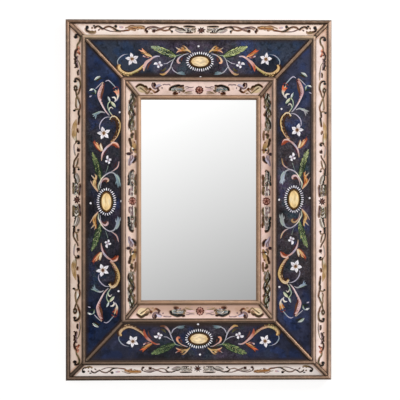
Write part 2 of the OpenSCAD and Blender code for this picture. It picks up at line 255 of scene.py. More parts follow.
# the painted shadow that the beads cast along a pane's low and high edge: how wide and how dark
cream_shading = {"left": (0.006, 0.1, 0.018, 0.55), "right": (0.016, 0.85, 0.006, 0.0),
                 "top": (0.008, 0.4, 0.008, 0.1), "bottom": (0.006, 0.0, 0.008, 0.3)}
navy_shading = (0.009, 0.7, 0.010, 0.9)
blush_shading = {"left": (0.006, 0.0, 0.020, 0.5), "right": (0.021, 0.65, 0.006, 0.0),
                 "top": (0.008, 0.1, 0.008, 0.1), "bottom": (0.006, 0.0, 0.026, 0.7)}
# the axis a pane runs along, and how light it is at its low and high end
cream_fade = {"left": (2, 0.80, 1.06), "right": (2, 1.07, 0.86), "top": (0, 1.03, 0.98), "bottom": (0, 0.98, 1.01)}
navy_fade = {"left": (2, 0.72, 1.12), "right": (2, 0.92, 1.0), "top": (0, 0.92, 1.12), "bottom": (0, 0.86, 1.06)}
# where the mitre's line turns, from the outer edge, and by how much more it climbs from there
mitre_turns = ((0.045, 0.0535), (0.1335, 0.193))

inward, come, go = start_group("distance_in", "ShaderNodeTree", [],
                               [("Distance", "Float", None), ("Along", "Float", None), ("Mitre", "Float", None)])
at, facing = parts(inward, spot_of(inward)), parts(inward, spot_of(inward, "Normal"))
side_in = sums(inward, "SUBTRACT", half_w, sums(inward, "ABSOLUTE", at[0]))
end_in = sums(inward, "SUBTRACT", half_h, sums(inward, "ABSOLUTE", off_middle(inward, at[2])))
is_end = sums(inward, "GREATER_THAN", sums(inward, "ABSOLUTE", facing[2]), sums(inward, "ABSOLUTE", facing[0]))
further = sums(inward, "SUBTRACT", end_in, side_in)
give(inward, go.inputs["Distance"], sums(inward, "MULTIPLY_ADD", further, is_end, side_in))
give(inward, go.inputs["Along"], sums(inward, "MAXIMUM", side_in, end_in))
kink = 0.0
for start, turn in mitre_turns:
    beyond = sums(inward, "MAXIMUM", sums(inward, "SUBTRACT", side_in, start), 0.0)
    kink = sums(inward, "MULTIPLY_ADD", beyond, turn, kink)
off_mitre = sums(inward, "ABSOLUTE", sums(inward, "SUBTRACT", further, kink))
give(inward, go.inputs["Mitre"], sums(inward, "MULTIPLY", off_mitre, 0.7))


def patches(tree, place, shift, noise_look, low, high, most):
    """A mask of soft patches; noise_look is the noise's scale, detail and warp."""
    scale, detail, warp = noise_look
    moved = put(tree, "ShaderNodeMapping", {"Vector": place, "Location": shift}).outputs[0]
    return ramp(tree, noise(tree, moved, scale, detail, 0.6, warp), low, high, 0.0, most)


def pane_material(name, base, tints, band, shading, shade, coat, corner=None, fade=None):
    """Opaque paint seen through glass: patches of tints, a painted shadow from the beads along the pane's
    edges and beside the mitre bead, and for some panes a corner tone with blotches, and a fade from end to end."""
    made, tree = start_material(name)
    place = spot_of(tree)
    inside = put(tree, "ShaderNodeGroup", node_tree=inward).outputs
    colour = base
    for number, (tint, scale, low, high, most) in enumerate(tints):
        mask = patches(tree, place, (number * 3.1, 0.7, number * 1.7), (scale, 5.0, 0.5), low, high, most)
        colour = blend(tree, mask, colour, tint)
    if corner:
        near = sums(tree, "MULTIPLY_ADD", noise(tree, place, 9.0, 3.0), 0.16, -0.08)
        near = ramp(tree, sums(tree, "ADD", inside["Along"], near), 0.13, 0.235, 0.85, 0.0)
        colour = blend(tree, near, colour, corner)
        royal = ramp(tree, noise(tree, place, 27.0, 3.0, 0.5, 0.5), 0.48, 0.62, 0.0, 0.75)
        colour = blend(tree, sums(tree, "MULTIPLY", near, royal), colour,
                       (corner[0] * 0.6, corner[1], corner[2] * 1.5, 1))
        for number, (by, scale, low, high) in enumerate(navy_blotches):
            mask = patches(tree, place, (1.3, number * 2.9, 0.4), (scale, 4.0, 0.4), low, high, 1.0)
            colour = blend(tree, mask, colour, blend(tree, 1.0, colour, (by, by, by, 1), "MULTIPLY"))
    if fade:
        axis, at_low, at_high = fade
        reach = half_w if axis == 0 else half_h
        start, end = middle[axis] - reach, middle[axis] + reach
        light = ramp(tree, parts(tree, place)[axis], start, end, at_low, at_high, "LINEAR")
        colour = blend(tree, 1.0, colour, plain_tone(tree, light), "MULTIPLY")
    # painted shadow cast by the beads along the pane's two edges
    low_edge_shadow = ramp(tree, inside["Distance"], band[0], band[0] + shading[0], shading[1], 0.0)
    high_edge_shadow = ramp(tree, inside["Distance"], band[1] - shading[2], band[1], 0.0, shading[3])
    colour = blend(tree, sums(tree, "MAXIMUM", low_edge_shadow, high_edge_shadow), colour, shade)
    # painted shadow beside the mitre bead
    colour = blend(tree, ramp(tree, inside["Mitre"], 0.0045, 0.0105, 0.8, 0.0), colour, shade)
    end_material(tree, {"Base Color": colour, "Roughness": 0.5, "Specular IOR Level": 0.0, "Coat Weight": coat,
                        "Coat Roughness": 0.06, "Normal": bumps(tree, 0.05, 0.0004, noise(tree, place, 240.0, 3.0))})
    return made


for side in SIDES:
    tints = [((*(v * 0.98 for v in cream[side][:3]), 1), 26.0, 0.45, 0.62, 0.8),
             (cream_stain, 34.0, 0.50, 0.70, stained[side])]
    paint(["outer_glass_" + side], pane_material("cream_glass_" + side, cream[side], tints, outer_band,
                                                 cream_shading[side], cream_shadow_tan, 0.3, None, cream_fade[side]))
    base, lighter, corner = navy[side]
    tints = [((*(v * lighter for v in tint[:3]), 1), *how) for tint, *how in navy_tints]
    paint(["frieze_glass_" + side], pane_material("navy_painted_glass_" + side, base, tints, frieze_band,
                                                  navy_shading, navy_edge_shadow, 0.22, corner, navy_fade[side]))
    paint(["inner_glass_" + side], pane_material("blush_glass_" + side, blush[side], blush_tints, inner_band,
                                                 blush_shading[side], blush_shadow_tan, 0.3))

# --- Frieze painting ------------------------------------------------------------
# The blue glass is painted by hand in oil colours: a pearled medallion at the middle of
# each side, and flowering scrolls that run from it to the corners, one half mirroring the other.
hand = random.Random(11)
strokes = []


def seen(red, green, blue):
    """A colour given as the eye sees it, from 0 to 255."""
    return tuple((v / 255 + 0.055) ** 2.4 / 1.055 ** 2.4 if v > 10 else v / 3295 for v in (red, green, blue))


white, lilac, ivory = seen(246, 243, 247), seen(190, 184, 202), seen(236, 226, 204)
pink, rose, salmon = seen(232, 198, 198), seen(212, 160, 148), seen(232, 160, 128)
rust, maroon, umber = seen(150, 66, 38), seen(84, 32, 38), seen(58, 36, 20)
tan, gold, ochre = seen(214, 182, 146), seen(232, 196, 134), seen(190, 150, 92)
olive, lime, green = seen(92, 92, 54), seen(198, 208, 158), seen(122, 146, 98)
pine, moss, sage = seen(30, 44, 32), seen(80, 100, 64), seen(170, 190, 168)
slate, pewter, grey = seen(112, 134, 142), seen(150, 170, 180), seen(178, 176, 180)
black, brown = seen(24, 18, 16), seen(104, 66, 44)
dusty, brick, flame = seen(206, 170, 164), seen(176, 88, 62), seen(228, 112, 66)
sand, amber, dusk = seen(178, 144, 102), seen(208, 140, 68), seen(92, 110, 116)
ripe, hay, lichen, bud = seen(206, 188, 118), seen(190, 192, 128), seen(150, 164, 106), seen(212, 220, 160)


def arm(turn):
    """A vector of length 1 at this angle in degrees, 90 along the rail."""
    return Vector((math.cos(math.radians(turn)), math.sin(math.radians(turn))))


def times(factor, values):
    """Each value times one factor."""
    return [factor * value for value in values]


def trace(line, gap):
    """Places along a smooth line through a few points, each with its direction and its share of the way."""
    ends = [Vector(point) for point in line]
    ends = [ends[0] * 2 - ends[1]] + ends + [ends[-1] * 2 - ends[-2]]
    way = []
    for a, b, c, d in zip(ends, ends[1:], ends[2:], ends[3:]):
        steps = max(2, math.ceil((c - b).length / gap))
        for step in range(steps):
            t = step / steps
            way.append((b * 2 + (c - a) * t + (a * 2 - b * 5 + c * 4 - d) * t * t
                        + (b * 3 - a - c * 3 + d) * t ** 3) / 2)
    way.append(ends[-2])
    lengths = [0.0]
    for here, there in zip(way, way[1:]):
        lengths.append(lengths[-1] + (there - here).length)
    found = []
    for number, place in enumerate(way):
        heading = way[min(number + 1, len(way) - 1)] - way[max(number - 1, 0)]
        found.append((place, heading.normalized(), lengths[number] / lengths[-1]))
    return found


def spread(values, share):
    """A value between evenly spread ones."""
    if len(values) == 1:
        return values[0]
    at = share * (len(values) - 1)
    low = min(int(at), len(values) - 2)
    first, second, part = values[low], values[low + 1], at - low
    if isinstance(first, tuple):
        return tuple(p + (q - p) * part for p, q in zip(first, second))
    return first + (second - first) * part


def pull(line, widths, tones, layer=1, beside=0.0, gap=1.8, loose=0.25):
    """One pull of the brush along a smooth line of (across, along) points in mm.
    Its widths and tones are spread evenly along it, and beside shifts it sideways."""
    line = [(across + hand.gauss(0, loose), along + hand.gauss(0, loose)) for across, along in line]
    load, light = (hand.uniform(0.93, 1.08), hand.uniform(0.94, 1.06)) if loose else (1.0, 1.0)
    path = []
    for place, heading, share in trace(line, gap):
        place = place + Vector((heading.y, -heading.x)) * beside
        tone = tuple(min(1.0, v * light) for v in spread(tones, share))
        path.append((place, spread(widths, share) * load / 2, tone))
    strokes.append((path, layer))


def dab(centre, long, wide, tones, layer=2, turn=90.0, loose=0.1):
    """A round or oval touch of paint; turn is the angle of its long way."""
    way = arm(turn) * long / 2
    centre = Vector(centre)
    rounding = [wide * math.sqrt(max(0.0, 1 - (step / 6) ** 2)) for step in range(-6, 7)]
    pull([centre - way, centre, centre + way], rounding, tones, layer, gap=min(1.5, long / 12), loose=loose)


def sprays(line, reach, count, tones, side, lean=48.0, start=0.1, stop=0.95, width=0.34, layer=1):
    """Short pointed pulls that spring forward from one side of a line, as the teeth of a leaf do."""
    places = trace(line, 0.6)
    for number in range(count):
        share = start + (stop - start) * (number + 0.5) / count
        place, heading, _ = min(places, key=lambda found: abs(found[2] - share))
        turned = heading.copy()
        turned.rotate(Matrix.Rotation(-side * math.radians(lean + hand.uniform(-6, 6)), 2))
        long = spread(reach, share) * hand.uniform(0.85, 1.12)
        tip = place + turned * long * 0.82 + heading * long * 0.34
        pull([place, place + turned * long * 0.5, tip],
             [long * width * 0.7, long * width, long * width * 0.85, long * 0.06],
             [tones[number % len(tones)]], layer, gap=1.4, loose=0.12)


def leaf_shape(line, width, body, light, dark, side=1):
    """A pointed leaf: a dark underpainting on one side, the body, and a light pull on the other."""
    pull(line, times(width, (0.3, 0.95, 1.2, 0.9, 0.1)), [dark], 0, -side * width * 0.22)
    pull(line, times(width, (0.25, 0.85, 1.0, 0.75, 0.05)), body)
    pull(line, times(width, (0.1, 0.28, 0.4, 0.25, 0.0)), light, 2, side * width * 0.17)


def plume(line, width, tones, light, dark, count=9):
    """A feathered leaf with a rib: teeth on both sides over a dark ground, and thin light hatching."""
    pull(line, times(width, (0.45, 1.05, 1.05, 0.8, 0.15)), [dark], 0)
    pull(line, times(width, (0.3, 0.66, 0.64, 0.46, 0.08)), [tones[0], dark, tones[0], tones[-1]])
    for side in (1, -1):
        for reach, teeth, hairs, look in (
                ((0.42, 0.72, 0.68, 0.52, 0.16), count, tones, (44.0, 0.02, 0.97, 0.34, 1)),
                ((0.28, 0.5, 0.48, 0.38, 0.12), count, [light, tones[-1]], (36.0, 0.06, 0.92, 0.15, 2)),
                ((0.34, 0.56, 0.54, 0.42, 0.12), count + 1, [dark], (42.0, 0.03, 0.94, 0.12, 3))):
            sprays(line, times(width, reach), teeth, hairs, side, *look)
    pull(line, [0.8, 1.2, 1.0, 0.4], [light, dark, dark, light], 3)


def star_flower(centre, reach, turn):
    """A five-petalled white flower with a brown eye."""
    centre = Vector(centre)
    for number in range(5):
        way = arm(turn + 72 * number + hand.uniform(-5, 5)) * reach * hand.uniform(0.94, 1.06)
        pull([centre + way * 0.12, centre + way * 0.55, centre + way], times(reach, (0.18, 0.46, 0.54, 0.32, 0.0)),
             [tan, white, white, white], 2, gap=1.2)
        pull([centre + way * 0.2, centre + way * 0.72], [0.8, 0.5, 0.0], [brown, lilac], 3, gap=1.2)
    dab(centre, reach * 0.50, reach * 0.44, [brown], 4)
    for number in range(6):
        dab(centre + arm(60 * number + 20) * reach * 0.15, 1.1, 0.9, [gold if number % 2 else umber], 5)


def small_flower(centre, reach, turn):
    """A loose four-petalled white flower, one petal drawn out and curling."""
    centre = Vector(centre)
    for number, share in enumerate((1.35, 0.85, 0.9, 0.85)):
        way = arm(turn + 90 * number) * reach * share
        bow = Vector((-way.y, way.x)) * 0.2
        pull([centre + way * 0.2, centre + way * 0.6 + bow, centre + way], times(reach, (0.2, 0.58, 0.66, 0.5, 0.1)),
             [lilac, white, white], 2, gap=1.0)
    dab(centre, reach * 0.34, reach * 0.3, [dusty], 3)
    dab(centre, reach * 0.16, reach * 0.14, [umber], 4)


def scroll_leaf(line, widths, tones, light, dark, teeth, side):
    """A broad scroll of acanthus: a dark edge, the body, teeth on its outer side and light hatching."""
    thick = widths[len(widths) // 2]
    pull(line, [w * 1.36 + 1.4 for w in widths], [dark], 0, side * 0.7)
    pull(line, times(0.9, widths), tones)
    pull(line, times(0.2, widths), [brown, umber, brown], 2, side * thick * 0.4)
    sprays(line, times(1.1, widths), teeth, tones[1:], side, 36.0, 0.25, 0.98, 0.40, 1)
    pull(line, times(0.30, widths), light, 2, -side * thick * 0.2)
    sprays(line, times(0.46, widths), teeth, [light[0], tones[0]], side, 30.0, 0.06, 0.95, 0.16, 3)
    sprays(line, times(0.85, widths), teeth + 2, [dark, brown], side, 44.0, 0.22, 0.96, 0.17, 3)
    sprays(line, times(0.40, widths), teeth + 1, [brown, olive], -side, 40.0, 0.1, 0.9, 0.13, 3)


def side_half(look):
    """Half of the painting on a side rail, from the medallion to the corner."""
    # the stems that leave the pearls, the acanthus beside them and the blue leaf
    fringe = look["fringe"]
    leaf_shape([(72, 23), (66, 34), (65, 46), (68, 55), (69, 60)], 6.5, [tan, *fringe], [gold], umber, -1)
    pull([(66, 47), (62, 53), (57, 59)], [2.4, 3, 1], [fringe[0], tan, grey], 2)
    pull([(68, 50), (67, 56), (65, 62)], [1.6, 2, 0.4], [fringe[1], tan], 2)
    pull([(66, 34), (62, 41), (61, 47)], [1.6, 3.6, 3, 0.8], fringe, 2)
    pull([(72, 22), (64, 31), (59, 39), (55, 47)], [1.4, 2.2, 2.2, 1], [dusty, tan, tan, dusty], 2)
    pull([(69, 30), (67.5, 38), (68.5, 46)], [0.6, 1.8, 0.6], [brown], 3)
    pull([(65, 36), (65, 45)], [0.6, 1.4, 0.4], [umber], 3)
    pull([(74, 26), (73, 35), (76, 43), (80, 51), (87, 59), (95, 64), (101, 65), (108, 62), (114, 55)],
         [1.6, 2.2, 2.4, 2.2, 2.6, 3], [sage, ivory, ivory, lilac, grey, pewter], 2)
    pull([(75, 28), (73, 35), (77, 45)], [1.2, 1, 0.3], [olive, sage], 1, -1.8)
    pull([(112, 60), (116, 50), (117, 40)], [4, 8, 8.6, 5], [look["blade"][1]], 0)
    pull([(108, 62), (114, 53), (116.5, 43), (117, 34.5)], [2, 5, 7.6, 7.6, 4.4], look["blade"], 1)
    for tip, reach in (((121, 33), 3.4), ((116, 31), 3.6), ((111.5, 37), 2.6)):
        pull([(113, 56), (116, 47), (tip[0], tip[1] + 6), tip], [2.6, reach, reach, 0.3],
             [look["blade"][0], look["blade"][1]], 1)
    pull([(112, 60), (118, 50), (119.5, 40)], [1.4, 1.8, 0.3], [sage], 2)
    pull([(77, 30), (77.5, 39), (80.5, 46), (85, 50.5), (90, 51.5), (93.8, 48), (93, 44)],
         [1.2, 1.6, 2, 2.6, 3.8, 4.6, 2.8], look["curl"], 2)
    pull([(81, 42), (85, 46), (90, 46), (91, 41)], [1, 3.6, 4, 1], [maroon, brown], 0)
    pull([(101, 66), (108, 70), (115, 77), (118, 89)], [1.2, 2.2, 2.8, 2.6, 1],
         [grey, dusty, look["horn"], look["horn"]], 2)
    pull([(104, 74), (110, 81), (113, 90)], [1, 3.4, 0.6], [seen(62, 34, 34)], 0)

    # the green plume and the small flower on its thread
    plume([(78, 50), (75, 62), (72, 72), (68.5, 84), (64.5, 96), (59, 109)], 13.5, look["plume"],
          look["vein"], pine, 11)
    pull([(73, 58), (69, 70), (65, 82), (61, 96)], [1, 2.6, 2, 0.4], [pine], 1, 5)
    pull([(94, 80), (91.5, 70), (88, 62)], [0.9, 0.8, 0.5], [sage, slate], 1)
    small_flower((94.4, 91.2), 8.2, 94)

    # the pink stem, its flame-shaped bud and the red leaf where the scroll springs
    pull([(79.5, 91), (80.5, 101), (84, 111), (90, 119), (96.5, 125), (102, 128)], [0.8, 3.2, 3.6, 4, 4.2, 3],
         [tan, dusty, pink, lilac, dusty, rose], 2)
    pull([(83, 97), (87, 108), (94, 117)], [0.6, 2.4, 0.6], [maroon], 0)
    leaf_shape([(80, 112), (74, 121), (69, 127), (62, 134)], 8, [tan, gold, salmon, rust], [gold], rust, 1)
    pull([(72, 124), (66, 131), (62, 139)], [1.2, 3, 0.4], [salmon, rust, maroon], 2)
    leaf_shape([(82, 112), (78.5, 121), (77.5, 130)], 4.6, [tan, ivory, tan], [ivory], brown, -1)
    pull([(77, 118), (72.5, 128), (71, 134)], [0.8, 2, 0.3], [rust, brown], 2)
    pull([(99, 125), (106, 128), (113, 125.5), (118, 118)], [2, 7.4, 7.6, 1.6], [maroon, rust, rust], 0)
    pull([(98, 126), (105.5, 130), (113.5, 128), (118.5, 119.5)], [2, 4.8, 5, 1.2], look["sprung"], 1)
    pull([(100, 128), (106, 131.5), (113, 129.5), (117, 124)], [0.8, 1.8, 1.6, 0.3], [ivory, pink], 2)
    pull([(104, 126), (109, 124.5), (113, 119)], [0.6, 2.6, 0.5], [rust], 2)

    # the ochre scroll, the star in it, its thread, the blue fan and the single pearl
    scroll_leaf([(99, 181), (103, 187), (109, 187), (115, 181), (118.5, 172), (118.5, 162), (116, 153), (112, 145),
                 (107, 137), (101, 131)], [3.4, 6.6, 8.2, 8.4, 8, 7.4, 6.4, 5.4, 3.4],
                [gold, tan, ochre, seen(206, 176, 112), ochre, tan, rose], [ivory, gold, gold, rose], umber, 8, 1)
    pull([(99, 182), (101, 178), (105, 178), (107, 181)], [1.2, 2.4, 2.2, 0.6], [umber], 2)
    star_flower((84.5, 151.5), 15, 104)
    pull([(100, 187), (91, 187), (83, 182), (77, 174), (75, 166), (76.5, 160)], [1, 1.9, 2.2, 2.2, 1],
         [grey, lilac, lilac, lilac], 2)
    pull([(87, 196.5), (80, 199), (73, 197)], [1.4, 3, 4.4], [grey, grey, pewter], 1)
    for tip in ((58.5, 193), (61, 187.5), (65.5, 182.5)):
        pull([(75, 197), (68, 194), tip], [3.4, 4.8, 3.4, 0.6], look["fan"], 1)
    pull([(78, 199), (70, 197), (60, 192)], [0.6, 1.4, 0.4], [sage], 2)
    dab((119.5, 198), 4.4, 4.4, [white])

    # the pink toothed leaf on its long stem
    stem = [(97, 191), (89, 200), (82, 212), (77, 222), (74, 231), (74.5, 240), (77.5, 250), (81, 258), (83.5, 264)]
    pull(stem[3:], [1.4, 6.5, 11.5, 10.5, 5.5, 1], [maroon, brown, maroon], 0, 3.6)
    pull(stem, [2, 2.5, 3, 3.4, 4.4, 6.4, 6.8, 5, 0.8], look["tall"], 1)
    sprays(stem, [3, 4, 5.5, 6.5, 4], 8, look["tall"][4:6], 1, 42, 0.34, 0.92, 0.5, 1)
    pull(stem[1:], [0.6, 1.2, 1.5, 2, 1.4, 0.4], [white, pink, dusty], 2, -0.9)
    sprays(stem, [2, 3, 4, 4], 7, [maroon], 1, 52, 0.40, 0.85, 0.16, 3)

    # the green sprig, the white bud and the tulip
    pull([(103.5, 190), (98.5, 197), (95, 204), (93.5, 211), (95, 217), (99, 222)], [1.8, 2.4, 2, 2, 2.4],
         [tan, sage, sage, sage, lime], 2)
    leaf_shape([(98.5, 221), (96, 228), (93, 233)], 4.6, [sage, pewter], [white], pine, 1)
    leaf_shape([(100.5, 221), (106, 215), (110.5, 209)], 6.4, [lime, sage], [ivory], pine, -1)
    pull([(96.5, 201), (98, 206.5), (101.5, 209), (105.5, 205)], [1.4, 2.2, 2.6, 1], [sage, ivory, grey], 2)
    pull([(102, 230.5), (107.5, 230.5), (110.5, 226), (109, 221)], [1, 4, 3.8, 1.2], [white, ivory, white], 2)
    pull([(112, 223), (115.5, 229), (117, 236), (116, 241)], [1.8, 2.8, 4.4, 4], [lilac, ivory, tan], 1)
    for tip, tone in (((106.5, 244), look["tulip"]), ((110.5, 249), tan), ((116.5, 250), look["tulip"])):
        pull([(116.5, 233), ((116 + tip[0]) / 2, 242), tip], [2.4, 4.6, 4.6, 0.8], [ivory, tone, tone], 2)
    pull([(105, 249), (111, 254), (118, 252)], [0.8, 2.8, 0.8], [rust, maroon], 0)
    pull([(112, 237), (109, 242)], [0.4, 1.2, 0.3], [rust], 3)

    # the light touches at the tip, by the corner
    pull([(88.5, 266), (94, 268), (100, 264), (106, 258), (111, 252)], [1.4, 2.4, 2.2, 2.4, 1],
         [lilac, lilac, pewter, grey], 2)
    pull([(67, 250), (75, 258), (82, 264), (84, 262)], [1.4, 2, 1.8, 0.8], [lilac, grey, tan], 2)
    pull([(68, 266), (75, 271), (82, 272)], [1, 5, 0.8], [umber, pine], 0)
    leaf_shape([(64, 268), (69, 273.5), (77.5, 277)], 5.2, [slate, sage, grey], [ivory, white, sage], pine, -1)
    pull([(54, 239), (61, 240), (68, 236)], [0.8, 4.4, 0.8], [pine], 0)
    pull([(52.5, 245), (57, 247.5), (62.5, 249)], [1.2, 4.2, 1], [sage, white, sage], 2)
    pull([(62, 249), (66, 245), (67, 238)], [1.4, 3.8, 1], [pewter, sage, olive], 2)
    pull([(53, 231.5), (58.5, 234)], [1, 3, 0.8], [lilac], 1)


def end_half(look):
    """Half of the painting on the top or bottom rail, from the medallion to the corner."""
    # the acanthus, the pink curl and the green plume
    pull([(77, 24), (73, 34), (74.5, 46)], [1, 4, 0.8], [umber], 0)
    pull([(72.5, 20), (68, 25.5), (67, 31), (68, 41), (65, 47), (61.5, 53.5)], [1.6, 3.2, 4.2, 4.8, 3.4, 1],
         [tan, gold, *look["fringe"], grey], 1)
    pull([(68, 25), (62, 30.5), (58.5, 36), (59.5, 41)], [2, 2.6, 2.6, 0.8], [tan, tan, look["fringe"][0], brown], 2)
    pull([(66, 33), (63, 38), (63, 43)], [1.2, 3.8, 1], look["fringe"], 2)
    pull([(71, 24), (70.5, 34), (69, 42)], [0.6, 2.2, 0.6], [umber], 3)
    pull([(64, 42), (62.5, 48), (60, 52)], [0.6, 1.6, 0.4], [umber], 3)
    pull([(64, 32), (65.5, 37)], [0.6, 1.6, 0.4], [olive], 3)
    pull([(68, 42), (70, 48), (73, 52)], [2, 3.2, 0.8], [salmon, tan], 2)
    pull([(66, 41), (69, 50)], [0.4, 1, 0.2], [rust], 3)
    pull([(75, 25), (76.5, 33), (80.5, 41), (85, 46.5), (91, 49.5), (95.5, 47.5), (94.5, 43)],
         [1, 1.6, 2, 2.6, 4, 5, 2.8], look["curl"], 2)
    pull([(83, 38), (89, 41), (92, 40)], [0.8, 3.4, 0.8], [maroon, brown], 0)
    plume([(81, 54), (77, 64), (72, 76), (66, 90), (59.5, 108)], 16, look["plume"], look["vein"], pine, 12)
    pull([(80, 53), (78, 44), (75, 36)], [1.4, 1.2, 0.4], [sage, olive], 1)

    # the stems below the plume, with the tan leaf and the grey fan
    pull([(80, 53), (89, 59), (99, 63), (107, 66), (114, 71.5), (119, 77.5), (121, 83), (120, 89)],
         [1, 1.4, 1.8, 2.4, 3.2, 4.4, 4.6, 1.4], [sage, grey, lilac, grey, dusty, look["horn"], look["horn"]], 2)
    pull([(106, 75), (112, 81), (113, 88)], [1, 5, 1], [olive, umber], 0)
    pull([(104, 63), (112, 58.5), (117, 52), (119.5, 45)], [1.2, 1.8, 2, 2], [grey, lilac, grey, slate], 2)
    pull([(118, 51), (118, 42), (118, 34)], [2, 6, 7, 3], [dusk], 0)
    for tip in ((121.5, 31), (117.5, 33), (113.5, 38)):
        pull([(118.5, 50), ((118 + tip[0]) / 2, 42), tip], [1.8, 3, 2.2, 0.4], [grey, slate, dusk], 1)
    pull([(88, 59), (91.5, 65), (96, 72.5), (97, 80.5)], [0.8, 1.2, 1.6, 1.2], [sage, lilac, grey], 1)
    small_flower((99.2, 90.6), 8.6, 92)

    # the pink stem that ends the big scroll, the flame bud and the dark red leaf
    pull([(81, 89), (81, 97), (84, 104), (88, 110), (94, 117), (99.5, 121.5), (106, 124), (114, 124.5)],
         [1.6, 3, 3.4, 4.2, 6, 6.6, 5.4, 1.4], look["stem"], 2)
    pull([(92, 106), (100, 113), (110, 116)], [0.8, 4, 0.8], [maroon, brown], 0)
    leaf_shape([(82, 106), (79, 113), (75, 119.5), (68, 126), (63, 128)], 6.4, look["bud"],
               [gold, look["bud"][-1]], umber, 1)
    pull([(72, 122), (70, 128), (67, 135)], [1.4, 3.4, 0.6], look["bud"][1:], 2)
    pull([(79, 110), (74.5, 118), (70, 124)], [0.5, 1.4, 0.4], [brown], 3)
    pull([(76, 117), (74.5, 126), (73, 132)], [1, 2.6, 0.5], [ochre, umber], 2)
    pull([(84, 112), (83, 119), (81, 126)], [1, 4.4, 1.6], [rose, maroon, pink], 1)
    dab((80.5, 125), 3.4, 2.8, [pink])

    # the ochre scroll, the star in it and its thread
    scroll_leaf([(99, 177.5), (106, 180), (113.5, 175.5), (118, 167), (119.5, 158), (117.5, 149.5), (113, 140),
                 (107, 131), (99, 122.5)], [6.4, 8.2, 8.2, 7.2, 6.2, 5.4, 5, 5.2, 4.6], look["scroll"],
                [gold, tan, look["scroll"][1]], umber, 8, -1)
    pull([(107, 183.5), (116, 178), (122, 168)], [0.6, 2, 0.6], [umber], 0)
    star_flower((86.8, 150.2), 14.4, 171)
    pull([(76, 158), (78, 168.5), (84, 177), (92, 182), (99.5, 181)], [0.6, 1.4, 2.2, 2.2, 1.2],
         [slate, lilac, pewter, grey], 2)


def medallion(centre, dots, warm):
    """The cream or golden oval with its dark rim, and the two single pearls beside it."""
    rim, heart = (seen(92, 62, 28), seen(252, 220, 158)) if warm else (seen(80, 52, 30), seen(252, 228, 184))
    dab(centre, 50.0, 32.0, [umber, pine, umber], 0, loose=0)
    dab(centre, 46.0, 27.0, [rim], 1, loose=0)
    dab(centre, 39.4, 21.2, [gold, heart, heart, gold], 2, loose=0)
    for number in range(6):
        across = (number - 2.5) * 2.9
        long = 14 * math.sqrt(1 - (across / 12) ** 2)
        pull([(centre[0] + across, centre[1] - long), (centre[0] + across + 0.6, centre[1] + long)],
             [0.3, 2.2, 2.0, 0.3], [heart, seen(255, 236, 196), heart], 3)
    for across, along in dots:
        dab((across, along), 4.6, 4.2, [white])


def paint_material(name, coat):
    """Oil colour laid on with a brush: streaks along each pull and a firmer edge."""
    made, tree = start_material(name)
    tone = put(tree, "ShaderNodeAttribute", attribute_name="paint").outputs["Color"]
    strand = parts(tree, put(tree, "ShaderNodeAttribute", attribute_name="strand").outputs["Vector"])
    across = put(tree, "ShaderNodeAttribute", attribute_name="across").outputs["Fac"]
    hair_at = put(tree, "ShaderNodeCombineXYZ", {0: sums(tree, "MULTIPLY", strand[0], 90.0),
                                                 1: sums(tree, "MULTIPLY", across, 2.2), 2: strand[1]})
    hairs = noise(tree, hair_at.outputs[0], 1.0, 3.0)
    dull = blend(tree, 1.0, tone, (0.70, 0.68, 0.70, 1), "MULTIPLY")
    colour = blend(tree, ramp(tree, hairs, 0.34, 0.62), dull, tone)
    colour = blend(tree, ramp(tree, sums(tree, "ABSOLUTE", across), 0.7, 1.0, 0.0, 0.35), colour, dull)
    end_material(tree, {"Base Color": colour, "Roughness": 0.5, "Specular IOR Level": 0.0, "Coat Weight": coat,
                        "Coat Roughness": 0.06, "Normal": bumps(tree, 0.25, 0.0003, hairs)})
    return made


def geo(tree, kind, geometry, sockets=None, **settings):
    """What comes out of one geometry node that this geometry goes into."""
    return put(tree, kind, {0: geometry, **(sockets or {})}, **settings).outputs[0]


def end_tree(tree, shape, come, go):
    """Ends a geometry tree: smooth faces, real meshes and the given material."""
    shape = geo(tree, "GeometryNodeRealizeInstances", geo(tree, "GeometryNodeSetShadeSmooth", shape))
    shape = geo(tree, "GeometryNodeSetMaterial", shape, {"Material": come.outputs["Material"]})
    give(tree, go.inputs["Geometry"], shape)


brush_pull, come, go = start_group(
    "brush_pull", "GeometryNodeTree",
    [("Geometry", "Geometry", None), ("Crown", "Float", 0.01), ("Material", "Material", None)],
    [("Geometry", "Geometry", None)])
line = geo(brush_pull, "GeometryNodeMeshToCurve", come.outputs["Geometry"])
line = geo(brush_pull, "GeometryNodeSetCurveNormal", line, mode="Z_UP")
flat = put(brush_pull, "GeometryNodeCurvePrimitiveLine", {"Start": (-1, 0, 0), "End": (1, 0, 0)}).outputs[0]
flat = geo(brush_pull, "GeometryNodeResampleCurve", flat, {"Count": 4})
at = parts(brush_pull, put(brush_pull, "GeometryNodeInputPosition").outputs[0])[0]
flat = geo(brush_pull, "GeometryNodeStoreNamedAttribute", flat, {"Name": "across", "Value": at},
           data_type="FLOAT", domain="POINT")
rise = sums(brush_pull, "MULTIPLY", sums(brush_pull, "MULTIPLY_ADD", at, at, -1.0), come.outputs["Crown"])
rise = put(brush_pull, "ShaderNodeCombineXYZ", {1: rise}).outputs[0]
flat = geo(brush_pull, "GeometryNodeSetPosition", flat, {"Offset": rise})
width = put(brush_pull, "GeometryNodeInputNamedAttribute", {"Name": "brush"}, data_type="FLOAT").outputs[0]
swept = geo(brush_pull, "GeometryNodeCurveToMesh", line, {"Profile Curve": flat, "Scale": width})
end_tree(brush_pull, swept, come, go)


def run_tree(made, tree, values):
    """Runs a geometry tree on an object with these named inputs, and gives back the mesh that it makes."""
    modifier = made.modifiers.new("tree", "NODES")
    modifier.node_group = tree
    for item in tree.interface.items_tree:
        if item.in_out == "INPUT" and item.name in values:
            modifier[item.identifier] = values[item.name]
    bpy.context.scene.collection.objects.link(made)
    mesh = bpy.data.meshes.new_from_object(made.evaluated_get(bpy.context.evaluated_depsgraph_get()))
    bpy.data.objects.remove(made)
    return mesh


